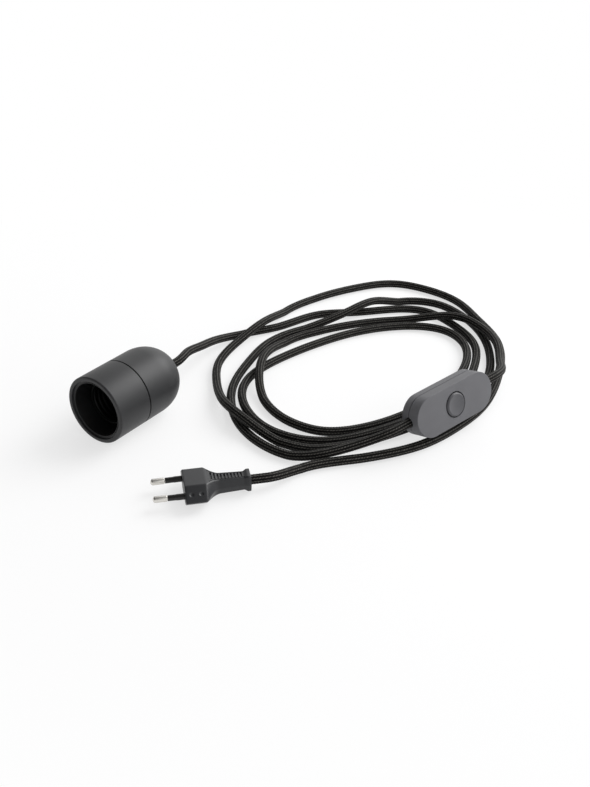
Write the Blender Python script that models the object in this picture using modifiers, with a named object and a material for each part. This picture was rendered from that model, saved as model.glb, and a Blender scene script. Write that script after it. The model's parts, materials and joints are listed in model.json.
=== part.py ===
"""A table lamp cord set: lamp holder, fabric cord, inline push switch and flat two-pin plug.

The holder lies on its side with its mouth facing -Y. The origin is on the floor, below the
middle of the holder. The cord, the switch and the plug lie on the same floor beside it.
"""
from math import atan2, cos, pi, radians, sin, sqrt

import bmesh
import bpy
import numpy as np
from mathutils import Matrix, Vector

MM = 0.001
GAP = 0.3 * MM                      # clearance between pieces that meet
MERGE = 0.00001                     # merge distance of the turned shapes

# Lamp holder
HOLDER_DIAMETER = 47.0 * MM
HOLDER_LENGTH = 70.6 * MM
SKIRT_LENGTH = 27.25 * MM
SEAM_GROOVE = 0.5 * MM
SHELL_CHAMFER = 0.35 * MM           # on both shells' edges at the seam
RIM_ROUNDING = 1.2 * MM
REBATE_WALL = 2.9 * MM              # from the outside to the step inside the rim
REBATE_DEPTH = 1.6 * MM
MOUTH_WALL = 4.8 * MM               # from the outside to the mouth's bore
MOUTH_CHAMFER = 0.4 * MM
DOME_STRAIGHT = 18.0 * MM           # plain length behind the seam before the dome curves in
DOME_EXPONENT = 2.15                # 2 is an ellipse, more is squarer
DOME_ARC_STEPS = 11
DOME_WALL = 2.6 * MM
DOME_TIP_THICKNESS = 5.0 * MM       # the dome's wall round the cord hole
WEB_START = 17.5 * MM               # inner flange of the skirt, measured from the mouth
WEB_THICKNESS = 2.6 * MM
SOCKET_WALL = 3.2 * MM              # skirt round the dome's front collar
SPIGOT_WALL = 2.0 * MM              # the dome's front collar, inside the skirt
SLEEVE_FRONT = 12.0 * MM            # how far the lamp thread sits behind the mouth
SLEEVE_LENGTH = 19.0 * MM
SLEEVE_WALL = 1.4 * MM
SLEEVE_CLEARANCE = 0.4 * MM         # between the sleeve and the contact carrier's rim
THREAD_DEPTH = 0.8 * MM
THREAD_PITCH = 3.63 * MM
SLEEVE_FLANGE = 2.2 * MM
CARRIER_FLOOR = 5.4 * MM
CARRIER_RIM_WALL = 1.9 * MM
CAVITY_SHOULDER = 1.8 * MM          # ledge in the dome that the contact carrier sits against
CONTACT_THICKNESS = 0.5 * MM
CONTACT_WIDTH = 6.0 * MM
CONTACT_RISE = 4.2 * MM             # height of the centre contact's tongue over the carrier
SIDE_CONTACT_RISE = 6.5 * MM
TERMINAL_SPACING = 15.0 * MM
TERMINAL_SCREW_RADIUS = 1.5 * MM
TERMINAL_HEAD_RADIUS = 2.8 * MM
TERMINAL_HEAD_HEIGHT = 1.8 * MM
TERMINAL_SCREW_DEPTH = 4.2 * MM
GRIP_LENGTH = 5.0 * MM
GRIP_WIDTH = 17.0 * MM
GRIP_HEIGHT = 5.0 * MM
GRIP_BAR = 1.8 * MM
GRIP_SCREW_EDGE = 2.1 * MM
GRIP_SCREW_RADIUS = 1.0 * MM
GRIP_HEAD_RADIUS = 1.9 * MM
GRIP_HEAD_HEIGHT = 1.2 * MM
GRIP_HEAD_CHAMFER = 0.3 * MM
GRIP_FLOOR = 1.2 * MM               # of the block under its screws
GRIP_CORD_REACH = 3.0 * MM          # how far the cord reaches past the grip

# Cord
CORD_DIAMETER = 6.2 * MM
CORD_HOLE_CLEARANCE = 0.35 * MM
CORE_RADIUS = 1.15 * MM
CORE_SPACING = 2.9 * MM
CORE_END_GAP = 0.5 * MM
CORD_POINT_SPACING = 19.0 * MM
CORD_STUB = 9.0 * MM                # straight run where the cord leaves a housing
CORD_SAMPLES = 2400

# Inline switch
SWITCH_LENGTH = 70.0 * MM
SWITCH_WIDTH = 27.6 * MM
SWITCH_THICKNESS = 14.4 * MM
SWITCH_COVER_SHARE = 8.5 * MM       # depth of the cover, the rest is the base
SWITCH_WALL = 2.0 * MM
SWITCH_EDGE = 0.7 * MM
SWITCH_PLACE = (179.1 * MM, 108.4 * MM, 20.3 * MM)
SWITCH_YAW = 74.9
SWITCH_PITCH = 3.2
SWITCH_TILT = 74.5
SWITCH_CORD_DEPTH = 13.0 * MM       # how far each cord reaches into the switch
BUTTON_RADIUS = 8.0 * MM
BUTTON_CLEARANCE = 0.4 * MM
BUTTON_PROUD = 1.0 * MM
BUTTON_DISH = 1.1 * MM
BUTTON_FLANGE = 1.2 * MM            # how far the hidden flange reaches past the button
BUTTON_FLANGE_THICKNESS = 1.0 * MM
BUTTON_TRAVEL = 2.2 * MM
STEM_RADIUS = 2.0 * MM
SPRING_WIRE = 0.3 * MM
SPRING_TURNS = 4
SPRING_POINTS_PER_TURN = 10
BRIDGE_LENGTH = 25.0 * MM
BRIDGE_WIDTH = 5.0 * MM
BRIDGE_THICKNESS = 0.5 * MM
BRIDGE_OVERHANG = 1.5 * MM          # past the middle of each contact pad
CONTACT_PAD_LENGTH = 6.0 * MM
CONTACT_PAD_THICKNESS = 1.2 * MM
TERMINAL_BLOCK = (6.0 * MM, 5.0 * MM, 3.6 * MM)
TERMINAL_INSET = 0.2 * MM           # of the live blocks in their pads
LIVE_TERMINAL_REACH = 8.2 * MM      # of each pad across the housing
LIVE_BLOCK_SHIFT = 0.4 * MM
LIVE_CORE_BEND = (3.6 * MM, 4.6 * MM)
LIVE_CORE_SIDE = 5.6 * MM
NEUTRAL_SIDE = 8.6 * MM             # the neutral terminal's place across the housing
NEUTRAL_CORE_BEND = (11.0 * MM, 7.0 * MM)
NEUTRAL_CORE_ENTRY = 4.0 * MM
NEUTRAL_CORE_END = 1.6 * MM
CORE_STRAIGHT = 2.0 * MM            # plain run of each core out of its cord
BOSS_RADIUS = 2.7 * MM
BOSS_PLACE = (20.0 * MM, 8.4 * MM)
HOUSING_SCREW_RADIUS = 1.2 * MM
HOUSING_HEAD_RADIUS = 2.2 * MM
HOUSING_HEAD_DEPTH = 1.3 * MM
HOUSING_SCREW_REACH = 4.0 * MM      # into the cover, past the seam
CLAMP_PLACE = 27.0 * MM             # distance of each cord clamp from the middle
CLAMP_SIZE = (4.5 * MM, 15.0 * MM, 1.6 * MM)
CLAMP_LEG_SPACING = 10.6 * MM
CLAMP_LEG_WIDTH = 2.4 * MM
CLAMP_LEG_INSET = 0.2 * MM

# Plug
PLUG_PLACE = (85.7 * MM, -49.9 * MM)
PLUG_YAW = 46.4
PLUG_WIDTH = 35.3 * MM
PLUG_THICKNESS = 13.7 * MM
PLUG_TOP_FLAT = 18.0 * MM
PLUG_CORNER = 0.9 * MM
PLUG_FACE_CHAMFER = 0.6 * MM
PLUG_HEAD_LENGTH = 13.0 * MM
PLUG_SHOULDER_LENGTH = 8.5 * MM
PLUG_LENGTH = 40.5 * MM
PLUG_NECK = (11.4 * MM, 10.0 * MM)  # width and height behind the shoulder
PLUG_NECK_END = (9.6 * MM, 8.8 * MM)
PLUG_FLANGE = (12.4 * MM, 11.0 * MM)
PLUG_FLANGE_LENGTH = 2.2 * MM
PLUG_RIBS = 10
PLUG_RIB_PITCH = 2.0 * MM
PLUG_RIB_DEPTH = 0.55 * MM
PLUG_RIB_START = 15.5 * MM
PIN_SPACING = 18.6 * MM             # at the plug's face
PIN_TIP_SPACING = 18.0 * MM         # the pins lean in a little
PIN_RADIUS = 2.0 * MM
PIN_SLEEVE_RADIUS = 1.9 * MM
PIN_CORE_RADIUS = 1.45 * MM
PIN_LENGTH = 19.0 * MM
PIN_SLEEVE_LENGTH = 10.5 * MM
PIN_DEPTH = 8.0 * MM                # how far each pin reaches into the plug
BRIDGE_PLATE = (24.0 * MM, 6.0 * MM)
BRIDGE_PLATE_DEPTH = 6.0 * MM
POCKET_DEPTH = 11.0 * MM
PLUG_CORD_DEPTH = 9.0 * MM

# The cord's route, in millimetres, read off the photograph. FLOOR is a cord lying on the floor.
FLOOR = CORD_DIAMETER / 2 / MM + 0.05
PLUG_TO_SWITCH = [
    (129, 11, FLOOR), (154, 42.5, FLOOR), (177.3, 77.3, FLOOR), (186.5, 112, FLOOR), (188.5, 147, FLOOR),
    (178.5, 192, FLOOR), (156.5, 238, FLOOR), (125, 267, FLOOR), (95, 288.5, FLOOR), (61, 295, FLOOR),
    (34, 289, FLOOR), (14, 266, FLOOR), (-4, 225, FLOOR), (-10, 189, FLOOR), (-5, 153, 9.8),
    (-5, 125, 7), (-1, 94, FLOOR), (19, 65, FLOOR), (45, 41, 8.5), (71, 29.5, 10), (101, 28, FLOOR),
    (125, 35, FLOOR), (148, 65, FLOOR), (165, 104, FLOOR), (176, 148, FLOOR), (174, 183, FLOOR),
    (158, 220, FLOOR), (135, 249, FLOOR), (105, 269, FLOOR), (78, 273, FLOOR), (57, 260, FLOOR),
    (46, 236, 10), (38, 207, 9), (21, 173, FLOOR), (12, 141, FLOOR), (18, 104, FLOOR),
    (32.5, 65.5, FLOOR), (57, 37, FLOOR), (84, 22, FLOOR), (114, 19, FLOOR), (136, 30.5, 7),
    (154.5, 50, 12.5),
]
SWITCH_TO_HOLDER = [
    (178, 194, 12), (162, 223, 10.5), (137, 244, 10), (112, 248, 10), (83, 235, 4.5),
    (59, 215, FLOOR), (32, 175, FLOOR), (22, 145, FLOOR), (27, 114, 9), (39, 89, 8.5),
    (60, 66, FLOOR), (88, 53, FLOOR), (116, 55, FLOOR), (136, 74, FLOOR), (151, 107, FLOOR),
    (157.5, 149.5, FLOOR), (153.3, 186.8, FLOOR), (139, 218, FLOOR), (117, 233, FLOOR), (93, 229, FLOOR),
    (67, 206, FLOOR), (49, 174, FLOOR), (35, 128, FLOOR), (32, 90, FLOOR), (43, 63, FLOOR),
    (69, 42, FLOOR), (96, 36, FLOOR), (123, 45, FLOOR), (145, 74, FLOOR), (160, 112, FLOOR),
    (167, 151, FLOOR), (159, 192, FLOOR), (143, 225, FLOOR), (117, 245, FLOOR), (86, 256, FLOOR),
    (63, 247, FLOOR), (38, 222, FLOOR), (15, 200, FLOOR), (2, 165, FLOOR), (-14, 137, FLOOR),
    (-17.3, 108.4, 9), (-10.6, 83, 16.5), (-5.2, 62.3, 22),
]

# Sizes that follow from the ones above
HOLDER_RADIUS = HOLDER_DIAMETER / 2
REBATE_RADIUS = HOLDER_RADIUS - REBATE_WALL
MOUTH_RADIUS = HOLDER_RADIUS - MOUTH_WALL
DOME_START = SKIRT_LENGTH + SEAM_GROOVE
CURVE_START = DOME_START + DOME_STRAIGHT
CURVE_LENGTH = HOLDER_LENGTH - CURVE_START
SOCKET_RADIUS = HOLDER_RADIUS - SOCKET_WALL
SPIGOT_RADIUS = SOCKET_RADIUS - GAP
SPIGOT_BORE = SPIGOT_RADIUS - SPIGOT_WALL
WEB_BACK = WEB_START + WEB_THICKNESS
SPIGOT_FRONT = WEB_BACK + 2 * GAP
FLANGE_RADIUS = SPIGOT_BORE - GAP
CARRIER_INNER = FLANGE_RADIUS - CARRIER_RIM_WALL
SLEEVE_OUTER = CARRIER_INNER - SLEEVE_CLEARANCE
SLEEVE_BACK = SLEEVE_FRONT + SLEEVE_LENGTH
THREAD_CREST_RADIUS = SLEEVE_OUTER - SLEEVE_WALL - THREAD_DEPTH
FLANGE_FRONT = WEB_BACK + GAP
CARRIER_FRONT = FLANGE_FRONT + SLEEVE_FLANGE + GAP
CARRIER_INSIDE = SLEEVE_BACK + GAP
CARRIER_BACK = CARRIER_INSIDE + CARRIER_FLOOR
CAVITY_START = CARRIER_BACK + GAP
CAVITY_RADIUS = SPIGOT_BORE - CAVITY_SHOULDER
CORD_RADIUS = CORD_DIAMETER / 2
CORD_HOLE_RADIUS = CORD_RADIUS + CORD_HOLE_CLEARANCE
GRIP_BACK = HOLDER_LENGTH - DOME_TIP_THICKNESS - GAP
GRIP_FRONT = GRIP_BACK - GRIP_LENGTH
GRIP_TOP = CORD_HOLE_RADIUS + GRIP_BAR
HOLDER_CORD_END = GRIP_FRONT - GRIP_CORD_REACH
SEAM_HEIGHT = SWITCH_THICKNESS / 2 - SWITCH_COVER_SHARE
SWITCH_TOP = SWITCH_THICKNESS / 2
SWITCH_FLOOR = -SWITCH_THICKNESS / 2 + SWITCH_WALL
SWITCH_CEILING = SWITCH_TOP - SWITCH_WALL
SWITCH_CORD_END = SWITCH_LENGTH / 2 - SWITCH_CORD_DEPTH
PAD_TOP = SWITCH_FLOOR + GAP + CONTACT_PAD_THICKNESS
BRIDGE_TOP = PAD_TOP + GAP + BRIDGE_THICKNESS
STEM_END = BRIDGE_TOP + GAP + BUTTON_TRAVEL
SCREW_END = SEAM_HEIGHT + HOUSING_SCREW_REACH
PLUG_AXIS_HEIGHT = PLUG_THICKNESS / 2
PLUG_SHOULDER_END = PLUG_HEAD_LENGTH + PLUG_SHOULDER_LENGTH
PLUG_FLANGE_START = PLUG_LENGTH - PLUG_FLANGE_LENGTH
PLUG_CORD_END = PLUG_LENGTH - PLUG_CORD_DEPTH

# Colours as read off the photograph: red, green, blue, roughness, metallic
FINISHES = {
    "holder_plastic": (0.040, 0.041, 0.044, 0.55, 0.0),
    "insert_plastic": (0.030, 0.034, 0.034, 0.45, 0.0),
    "switch_plastic": (0.130, 0.130, 0.138, 0.50, 0.0),
    "button_plastic": (0.110, 0.110, 0.118, 0.45, 0.0),
    "plug_plastic": (0.045, 0.046, 0.050, 0.42, 0.0),
    "sleeve_plastic": (0.020, 0.020, 0.022, 0.40, 0.0),
    "nickel": (0.560, 0.545, 0.520, 0.22, 1.0),
    "brass": (0.620, 0.480, 0.230, 0.30, 1.0),
    "spring_steel": (0.420, 0.420, 0.430, 0.30, 1.0),
    "screw_steel": (0.480, 0.480, 0.490, 0.30, 1.0),
    "cord_fabric": (0.012, 0.011, 0.010, 0.85, 0.0),
    "core_brown": (0.120, 0.040, 0.015, 0.45, 0.0),
    "core_blue": (0.020, 0.080, 0.280, 0.45, 0.0),
}


def clear_scene():
    for obj in list(bpy.data.objects):
        bpy.data.objects.remove(obj, do_unlink=True)


def new_collection(name):
    collection = bpy.data.collections.new(name)
    bpy.context.scene.collection.children.link(collection)
    return collection


clear_scene()
PARTS = new_collection("table_lamp_cord_set")
CUTTERS = new_collection("cutters")


def make_materials():
    made = {}
    for name, (red, green, blue, roughness, metallic) in FINISHES.items():
        mat = bpy.data.materials.new(name)
        mat.use_nodes = True
        shader = mat.node_tree.nodes["Principled BSDF"]
        shader.inputs["Base Color"].default_value = (red, green, blue, 1.0)
        shader.inputs["Roughness"].default_value = roughness
        shader.inputs["Metallic"].default_value = metallic
        mat.diffuse_color = (red, green, blue, 1.0)
        made[name] = mat
    return made


MATERIALS = make_materials()


def add_frame(name, matrix):
    """An empty that carries the pieces of one housing."""
    frame = bpy.data.objects.new(name, None)
    frame.matrix_world = matrix
    frame.empty_display_size = 0.01
    PARTS.objects.link(frame)
    return frame


def add_part(name, data, finish, frame, place=Matrix.Identity(4)):
    obj = bpy.data.objects.new(name, data)
    PARTS.objects.link(obj)
    obj.parent = frame
    obj.matrix_local = place
    data.materials.clear()
    data.materials.append(MATERIALS[finish])
    return obj


def add_cutter(name, mesh, frame, place=Matrix.Identity(4)):
    obj = bpy.data.objects.new(name, mesh)
    CUTTERS.objects.link(obj)
    obj.parent = frame
    obj.matrix_local = place
    obj.hide_render = True
    obj.display_type = "WIRE"
    return obj


def boolean(target, cutter, operation="DIFFERENCE"):
    step = target.modifiers.new(operation.lower(), "BOOLEAN")
    step.operation = operation
    step.object = cutter
    step.solver = "EXACT"


def bevel(obj, width, segments=2, angle=30):
    step = obj.modifiers.new("edges", "BEVEL")
    step.width = width
    step.segments = segments
    step.limit_method = "ANGLE"
    step.angle_limit = radians(angle)
    return step


def mesh_from_bmesh(name, bm):
    mesh = bpy.data.meshes.new(name)
    bm.to_mesh(mesh)
    bm.free()
    return mesh


def box_mesh(name, low, high):
    bm = bmesh.new()
    bmesh.ops.create_cube(bm, size=1.0)
    size = Vector(high) - Vector(low)
    middle = (Vector(high) + Vector(low)) / 2
    bmesh.ops.scale(bm, vec=size, verts=bm.verts)
    bmesh.ops.translate(bm, vec=middle, verts=bm.verts)
    return mesh_from_bmesh(name, bm)


def rod_mesh(name, radius, low, high, sides=24, end_radius=None):
    """A cylinder or cone along Z from low to high."""
    bm = bmesh.new()
    bmesh.ops.create_cone(
        bm, cap_ends=True, segments=sides, radius1=radius,
        radius2=radius if end_radius is None else end_radius, depth=high - low)
    bmesh.ops.translate(bm, vec=(0, 0, (low + high) / 2), verts=bm.verts)
    mesh = mesh_from_bmesh(name, bm)
    smooth(mesh)
    return mesh


def smooth(mesh, angle=40):
    mesh.shade_smooth()
    mesh.set_sharp_from_angle(angle=radians(angle))


def turned_mesh(name, profile, steps):
    """Turns a profile of (radius, height) points round Z.

    The profile runs down the outer side. It is open where it ends on the axis, else closed.
    """
    closed = profile[0][0] > MERGE or profile[-1][0] > MERGE
    edges = [(i, i + 1) for i in range(len(profile) - 1)]
    if closed:
        edges.append((len(profile) - 1, 0))
    outline = bpy.data.meshes.new(name + "_profile")
    outline.from_pydata([(r, 0.0, z) for r, z in profile], edges, [])
    holder = bpy.data.objects.new(name + "_profile", outline)
    CUTTERS.objects.link(holder)
    screw = holder.modifiers.new("turn", "SCREW")
    screw.axis = "Z"
    screw.angle = 2 * pi
    screw.steps = steps
    screw.render_steps = steps
    screw.use_merge_vertices = True
    screw.merge_threshold = MERGE
    bpy.context.view_layer.update()
    evaluated = holder.evaluated_get(bpy.context.evaluated_depsgraph_get())
    mesh = bpy.data.meshes.new_from_object(evaluated)
    mesh.name = name
    bpy.data.objects.remove(holder, do_unlink=True)
    bpy.data.meshes.remove(outline)
    smooth(mesh)
    return mesh


def curve_to_mesh(curve_object):
    """Makes a mesh of a curve object, with its caps welded, and removes the curve."""
    bpy.context.view_layer.update()
    evaluated = curve_object.evaluated_get(bpy.context.evaluated_depsgraph_get())
    mesh = bpy.data.meshes.new_from_object(evaluated)
    bm = bmesh.new()
    bm.from_mesh(mesh)
    bmesh.ops.remove_doubles(bm, verts=bm.verts, dist=MERGE)
    bmesh.ops.recalc_face_normals(bm, faces=bm.faces)
    bm.to_mesh(mesh)
    bm.free()
    bpy.data.objects.remove(curve_object, do_unlink=True)
    return mesh


def outline_mesh(name, outline, low, high):
    """A flat outline in XY, made solid from low to high."""
    curve = bpy.data.curves.new(name, "CURVE")
    curve.dimensions = "2D"
    curve.fill_mode = "BOTH"
    curve.extrude = (high - low) / 2
    spline = curve.splines.new("POLY")
    spline.points.add(len(outline) - 1)
    for point, (x, y) in zip(spline.points, outline):
        point.co = (x, y, 0.0, 1.0)
    spline.use_cyclic_u = True
    holder = bpy.data.objects.new(name, curve)
    CUTTERS.objects.link(holder)
    mesh = curve_to_mesh(holder)
    mesh.transform(Matrix.Translation((0, 0, (low + high) / 2)))
    mesh.name = name
    smooth(mesh, 30)
    return mesh


def stadium(length, width, arc_steps=12):
    """An outline with straight sides and round ends."""
    radius = width / 2
    reach = length / 2 - radius
    points = []
    for side in (1, -1):
        for i in range(arc_steps + 1):
            turn = -pi / 2 + pi * i / arc_steps
            points.append((side * (reach + radius * cos(turn)), side * radius * sin(turn)))
    return points


def loft_mesh(name, sections):
    """Joins sections of equal point count, each a list of 3-D points, and caps both ends."""
    count = len(sections[0])
    verts = [p for section in sections for p in section]
    faces = []
    for row in range(len(sections) - 1):
        for i in range(count):
            a = row * count + i
            b = row * count + (i + 1) % count
            faces.append((a, b, b + count, a + count))
    faces.append(tuple(reversed(range(count))))
    faces.append(tuple(range((len(sections) - 1) * count, len(sections) * count)))
    mesh = bpy.data.meshes.new(name)
    mesh.from_pydata(verts, [], faces)
    bm = bmesh.new()
    bm.from_mesh(mesh)
    bmesh.ops.recalc_face_normals(bm, faces=bm.faces)
    bm.to_mesh(mesh)
    bm.free()
    smooth(mesh, 25)
    return mesh


def smooth_curve(points, samples, leave=None, arrive=None):
    """A cubic through the points, over centripetal parameters.

    It starts along leave and ends along arrive where they are given, and is free at its ends else.
    """
    p = np.array(points, dtype=float)
    t = np.concatenate([[0.0], np.cumsum(np.linalg.norm(np.diff(p, axis=0), axis=1) ** 0.5)])
    h = np.diff(t)
    n = len(p)
    system = np.eye(n)
    rhs = np.zeros((n, 3))
    for i in range(1, n - 1):
        system[i, i - 1:i + 2] = (h[i - 1], 2 * (h[i - 1] + h[i]), h[i])
        rhs[i] = 6 * ((p[i + 1] - p[i]) / h[i] - (p[i] - p[i - 1]) / h[i - 1])
    if leave is not None:
        first = np.array(leave) * np.linalg.norm(p[1] - p[0]) / h[0]
        system[0, :2] = (2 * h[0], h[0])
        rhs[0] = 6 * ((p[1] - p[0]) / h[0] - first)
    if arrive is not None:
        last = np.array(arrive) * np.linalg.norm(p[-1] - p[-2]) / h[-1]
        system[-1, -2:] = (h[-1], 2 * h[-1])
        rhs[-1] = 6 * (last - (p[-1] - p[-2]) / h[-1])
    bend = np.linalg.solve(system, rhs)
    s = np.linspace(0, t[-1], samples)
    k = np.clip(np.searchsorted(t, s, side="right") - 1, 0, n - 2)
    a = ((t[k + 1] - s) / h[k])[:, None]
    b = ((s - t[k]) / h[k])[:, None]
    width = (h[k] ** 2 / 6)[:, None]
    return a * p[k] + b * p[k + 1] + ((a ** 3 - a) * bend[k] + (b ** 3 - b) * bend[k + 1]) * width


def even_points(path, spacing):
    """Points an equal distance apart along a path, ends kept."""
    steps = np.linalg.norm(np.diff(path, axis=0), axis=1)
    along = np.concatenate([[0.0], np.cumsum(steps)])
    count = int(round(along[-1] / spacing)) + 1
    places = np.linspace(0, along[-1], count)
    return np.stack([np.interp(places, along, path[:, i]) for i in range(3)], axis=1)


def tube_curve(name, points, radius, level=2):
    curve = bpy.data.curves.new(name, "CURVE")
    curve.dimensions = "3D"
    curve.bevel_depth = radius
    curve.bevel_resolution = level
    curve.use_fill_caps = True
    spline = curve.splines.new("POLY")
    spline.points.add(len(points) - 1)
    for point, place in zip(spline.points, points):
        point.co = (*place, 1.0)
    return curve


def add_tube(name, points, radius, finish, frame):
    return add_part(name, tube_curve(name, points, radius), finish, frame)


def add_wire(name, points, finish, frame):
    """An insulated core on a smooth curve, square to the cord's end where it starts."""
    leave = np.array(points[1]) - np.array(points[0])
    path = even_points(smooth_curve(points, 60, leave / np.linalg.norm(leave)), 2.4 * MM)
    return add_tube(name, path, CORE_RADIUS, finish, frame)


def dome_radius(height):
    """Outer radius of the dome at a distance from the mouth."""
    share = max(0.0, min(1.0, (height - CURVE_START) / CURVE_LENGTH))
    return HOLDER_RADIUS * (1 - share ** DOME_EXPONENT) ** (1 / DOME_EXPONENT)


def add_holder_skirt(frame):
    """Front shell: rim, a step down to the bore, an inner web and a socket for the dome's collar."""
    r = HOLDER_RADIUS
    e = RIM_ROUNDING
    c = SHELL_CHAMFER
    web_bore = SLEEVE_OUTER + GAP
    rim = [(r - e + e * sin(a), e - e * cos(a)) for a in (pi / 2, pi / 3, pi / 6, 0)]
    profile = [(r - c, SKIRT_LENGTH), (r, SKIRT_LENGTH - c)] + rim + [
        (REBATE_RADIUS, 0.0), (REBATE_RADIUS, REBATE_DEPTH),
        (MOUTH_RADIUS + MOUTH_CHAMFER, REBATE_DEPTH), (MOUTH_RADIUS, REBATE_DEPTH + MOUTH_CHAMFER),
        (MOUTH_RADIUS, WEB_START), (web_bore, WEB_START), (web_bore, WEB_BACK),
        (SOCKET_RADIUS, WEB_BACK), (SOCKET_RADIUS, SKIRT_LENGTH)]
    return add_part("holder_skirt", turned_mesh("holder_skirt", profile, 40), "holder_plastic", frame)


def add_holder_dome(frame):
    """Rear shell: a domed cap with a front collar, a ledge for the carrier and the cord hole."""
    c = SHELL_CHAMFER
    hole = CORD_HOLE_RADIUS
    tip = [(hole, HOLDER_LENGTH)]
    for i in range(1, DOME_ARC_STEPS + 1):
        turn = pi / 2 * i / DOME_ARC_STEPS
        share = cos(turn) ** (2 / DOME_EXPONENT)
        radius = HOLDER_RADIUS * sin(turn) ** (2 / DOME_EXPONENT)
        if radius > hole + SHELL_CHAMFER:
            tip.append((radius, CURVE_START + CURVE_LENGTH * share))
    front = [(HOLDER_RADIUS, DOME_START + c), (HOLDER_RADIUS - c, DOME_START),
             (SPIGOT_RADIUS, DOME_START), (SPIGOT_RADIUS, SPIGOT_FRONT),
             (SPIGOT_BORE, SPIGOT_FRONT), (SPIGOT_BORE, CAVITY_START), (CAVITY_RADIUS, CAVITY_START)]
    inner_end = HOLDER_LENGTH - DOME_TIP_THICKNESS
    inside = []
    for i in range(1, 9):
        height = CAVITY_START + (inner_end - CAVITY_START) * i / 8
        inside.append((min(CAVITY_RADIUS, dome_radius(height) - DOME_WALL), height))
    while inside[1][0] == CAVITY_RADIUS:
        inside.pop(0)
    back = [(hole, inner_end)]
    mesh = turned_mesh("holder_dome", tip + front + inside + back, 40)
    return add_part("holder_dome", mesh, "holder_plastic", frame)


def add_thread_sleeve(frame):
    """The lamp thread's sleeve, its turns as waves of the bore, clamped by its flange."""
    waves = int((SLEEVE_LENGTH - 2 * MM) / THREAD_PITCH)
    first = SLEEVE_FRONT + 1.2 * MM
    mean = THREAD_CREST_RADIUS + THREAD_DEPTH / 2
    bore = [(mean + THREAD_DEPTH / 2, SLEEVE_FRONT)]
    for i in range(waves * 4 + 1):
        bore.append((mean - THREAD_DEPTH / 2 * cos(pi / 2 * i), first + THREAD_PITCH * i / 4))
    profile = [(SLEEVE_OUTER, SLEEVE_BACK), (SLEEVE_OUTER, FLANGE_FRONT + SLEEVE_FLANGE),
               (FLANGE_RADIUS, FLANGE_FRONT + SLEEVE_FLANGE), (FLANGE_RADIUS, FLANGE_FRONT),
               (SLEEVE_OUTER, FLANGE_FRONT), (SLEEVE_OUTER, SLEEVE_FRONT + 0.5 * MM),
               (SLEEVE_OUTER - 0.5 * MM, SLEEVE_FRONT)] + bore + [(mean, SLEEVE_BACK)]
    mesh = turned_mesh("thread_sleeve", profile, 32)
    return add_part("thread_sleeve", mesh, "insert_plastic", frame)


def add_contact_carrier(frame):
    """A cup behind the lamp thread that holds the contacts and terminals."""
    profile = [(0.0, CARRIER_BACK), (FLANGE_RADIUS, CARRIER_BACK), (FLANGE_RADIUS, CARRIER_FRONT),
               (CARRIER_INNER, CARRIER_FRONT), (CARRIER_INNER, CARRIER_INSIDE), (0.0, CARRIER_INSIDE)]
    cup = add_part("contact_carrier", turned_mesh("contact_carrier", profile, 32),
                   "insert_plastic", frame)
    for k, side in enumerate((1, -1)):
        hole = rod_mesh("terminal_hole", TERMINAL_SCREW_RADIUS + GAP, 0.0,
                        TERMINAL_SCREW_DEPTH + 2 * GAP, 16)
        low = CARRIER_BACK - TERMINAL_SCREW_DEPTH - GAP
        place = Matrix.Translation((side * TERMINAL_SPACING / 2, 0, low))
        boolean(cup, add_cutter(f"terminal_hole_{k + 1}", hole, frame, place))
    return cup


def strip_mesh(name, path, width, thickness):
    """A bent strip: a path of (x, z) points, thickened and given a width along Y."""
    upper = []
    lower = []
    for i, (x, z) in enumerate(path):
        ax, az = path[max(i - 1, 0)]
        bx, bz = path[min(i + 1, len(path) - 1)]
        length = sqrt((bx - ax) ** 2 + (bz - az) ** 2)
        nx, nz = -(bz - az) / length, (bx - ax) / length
        upper.append((x + nx * thickness / 2, z + nz * thickness / 2))
        lower.append((x - nx * thickness / 2, z - nz * thickness / 2))
    mesh = outline_mesh(name, upper + lower[::-1], -width / 2, width / 2)
    mesh.transform(Matrix.Rotation(pi / 2, 4, "X"))
    return mesh


def add_lamp_contacts(frame):
    """The sprung tongue for the lamp's tip and two side springs for its thread."""
    seat = CARRIER_INSIDE - GAP - CONTACT_THICKNESS / 2
    reach = THREAD_CREST_RADIUS - 2.2 * MM
    tongue = [(-reach, seat), (-reach * 0.45, seat), (-reach * 0.1, seat - CONTACT_RISE * 0.75),
              (reach * 0.1, seat - CONTACT_RISE), (reach * 0.32, seat - CONTACT_RISE * 0.85)]
    add_part("centre_contact", strip_mesh("centre_contact", tongue, CONTACT_WIDTH, CONTACT_THICKNESS),
             "brass", frame)
    foot = reach * 0.62
    spring = [(foot, seat), (reach * 0.92, seat), (reach, seat - CONTACT_RISE * 0.3),
              (reach + 0.7 * MM, seat - SIDE_CONTACT_RISE * 0.7),
              (reach + 0.2 * MM, seat - SIDE_CONTACT_RISE)]
    for k, angle in enumerate((pi / 2, -pi / 2)):
        mesh = strip_mesh("side_contact", spring, CONTACT_WIDTH * 0.75, CONTACT_THICKNESS)
        add_part(f"side_contact_{k + 1}", mesh, "brass", frame, Matrix.Rotation(angle, 4, "Z"))


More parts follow.
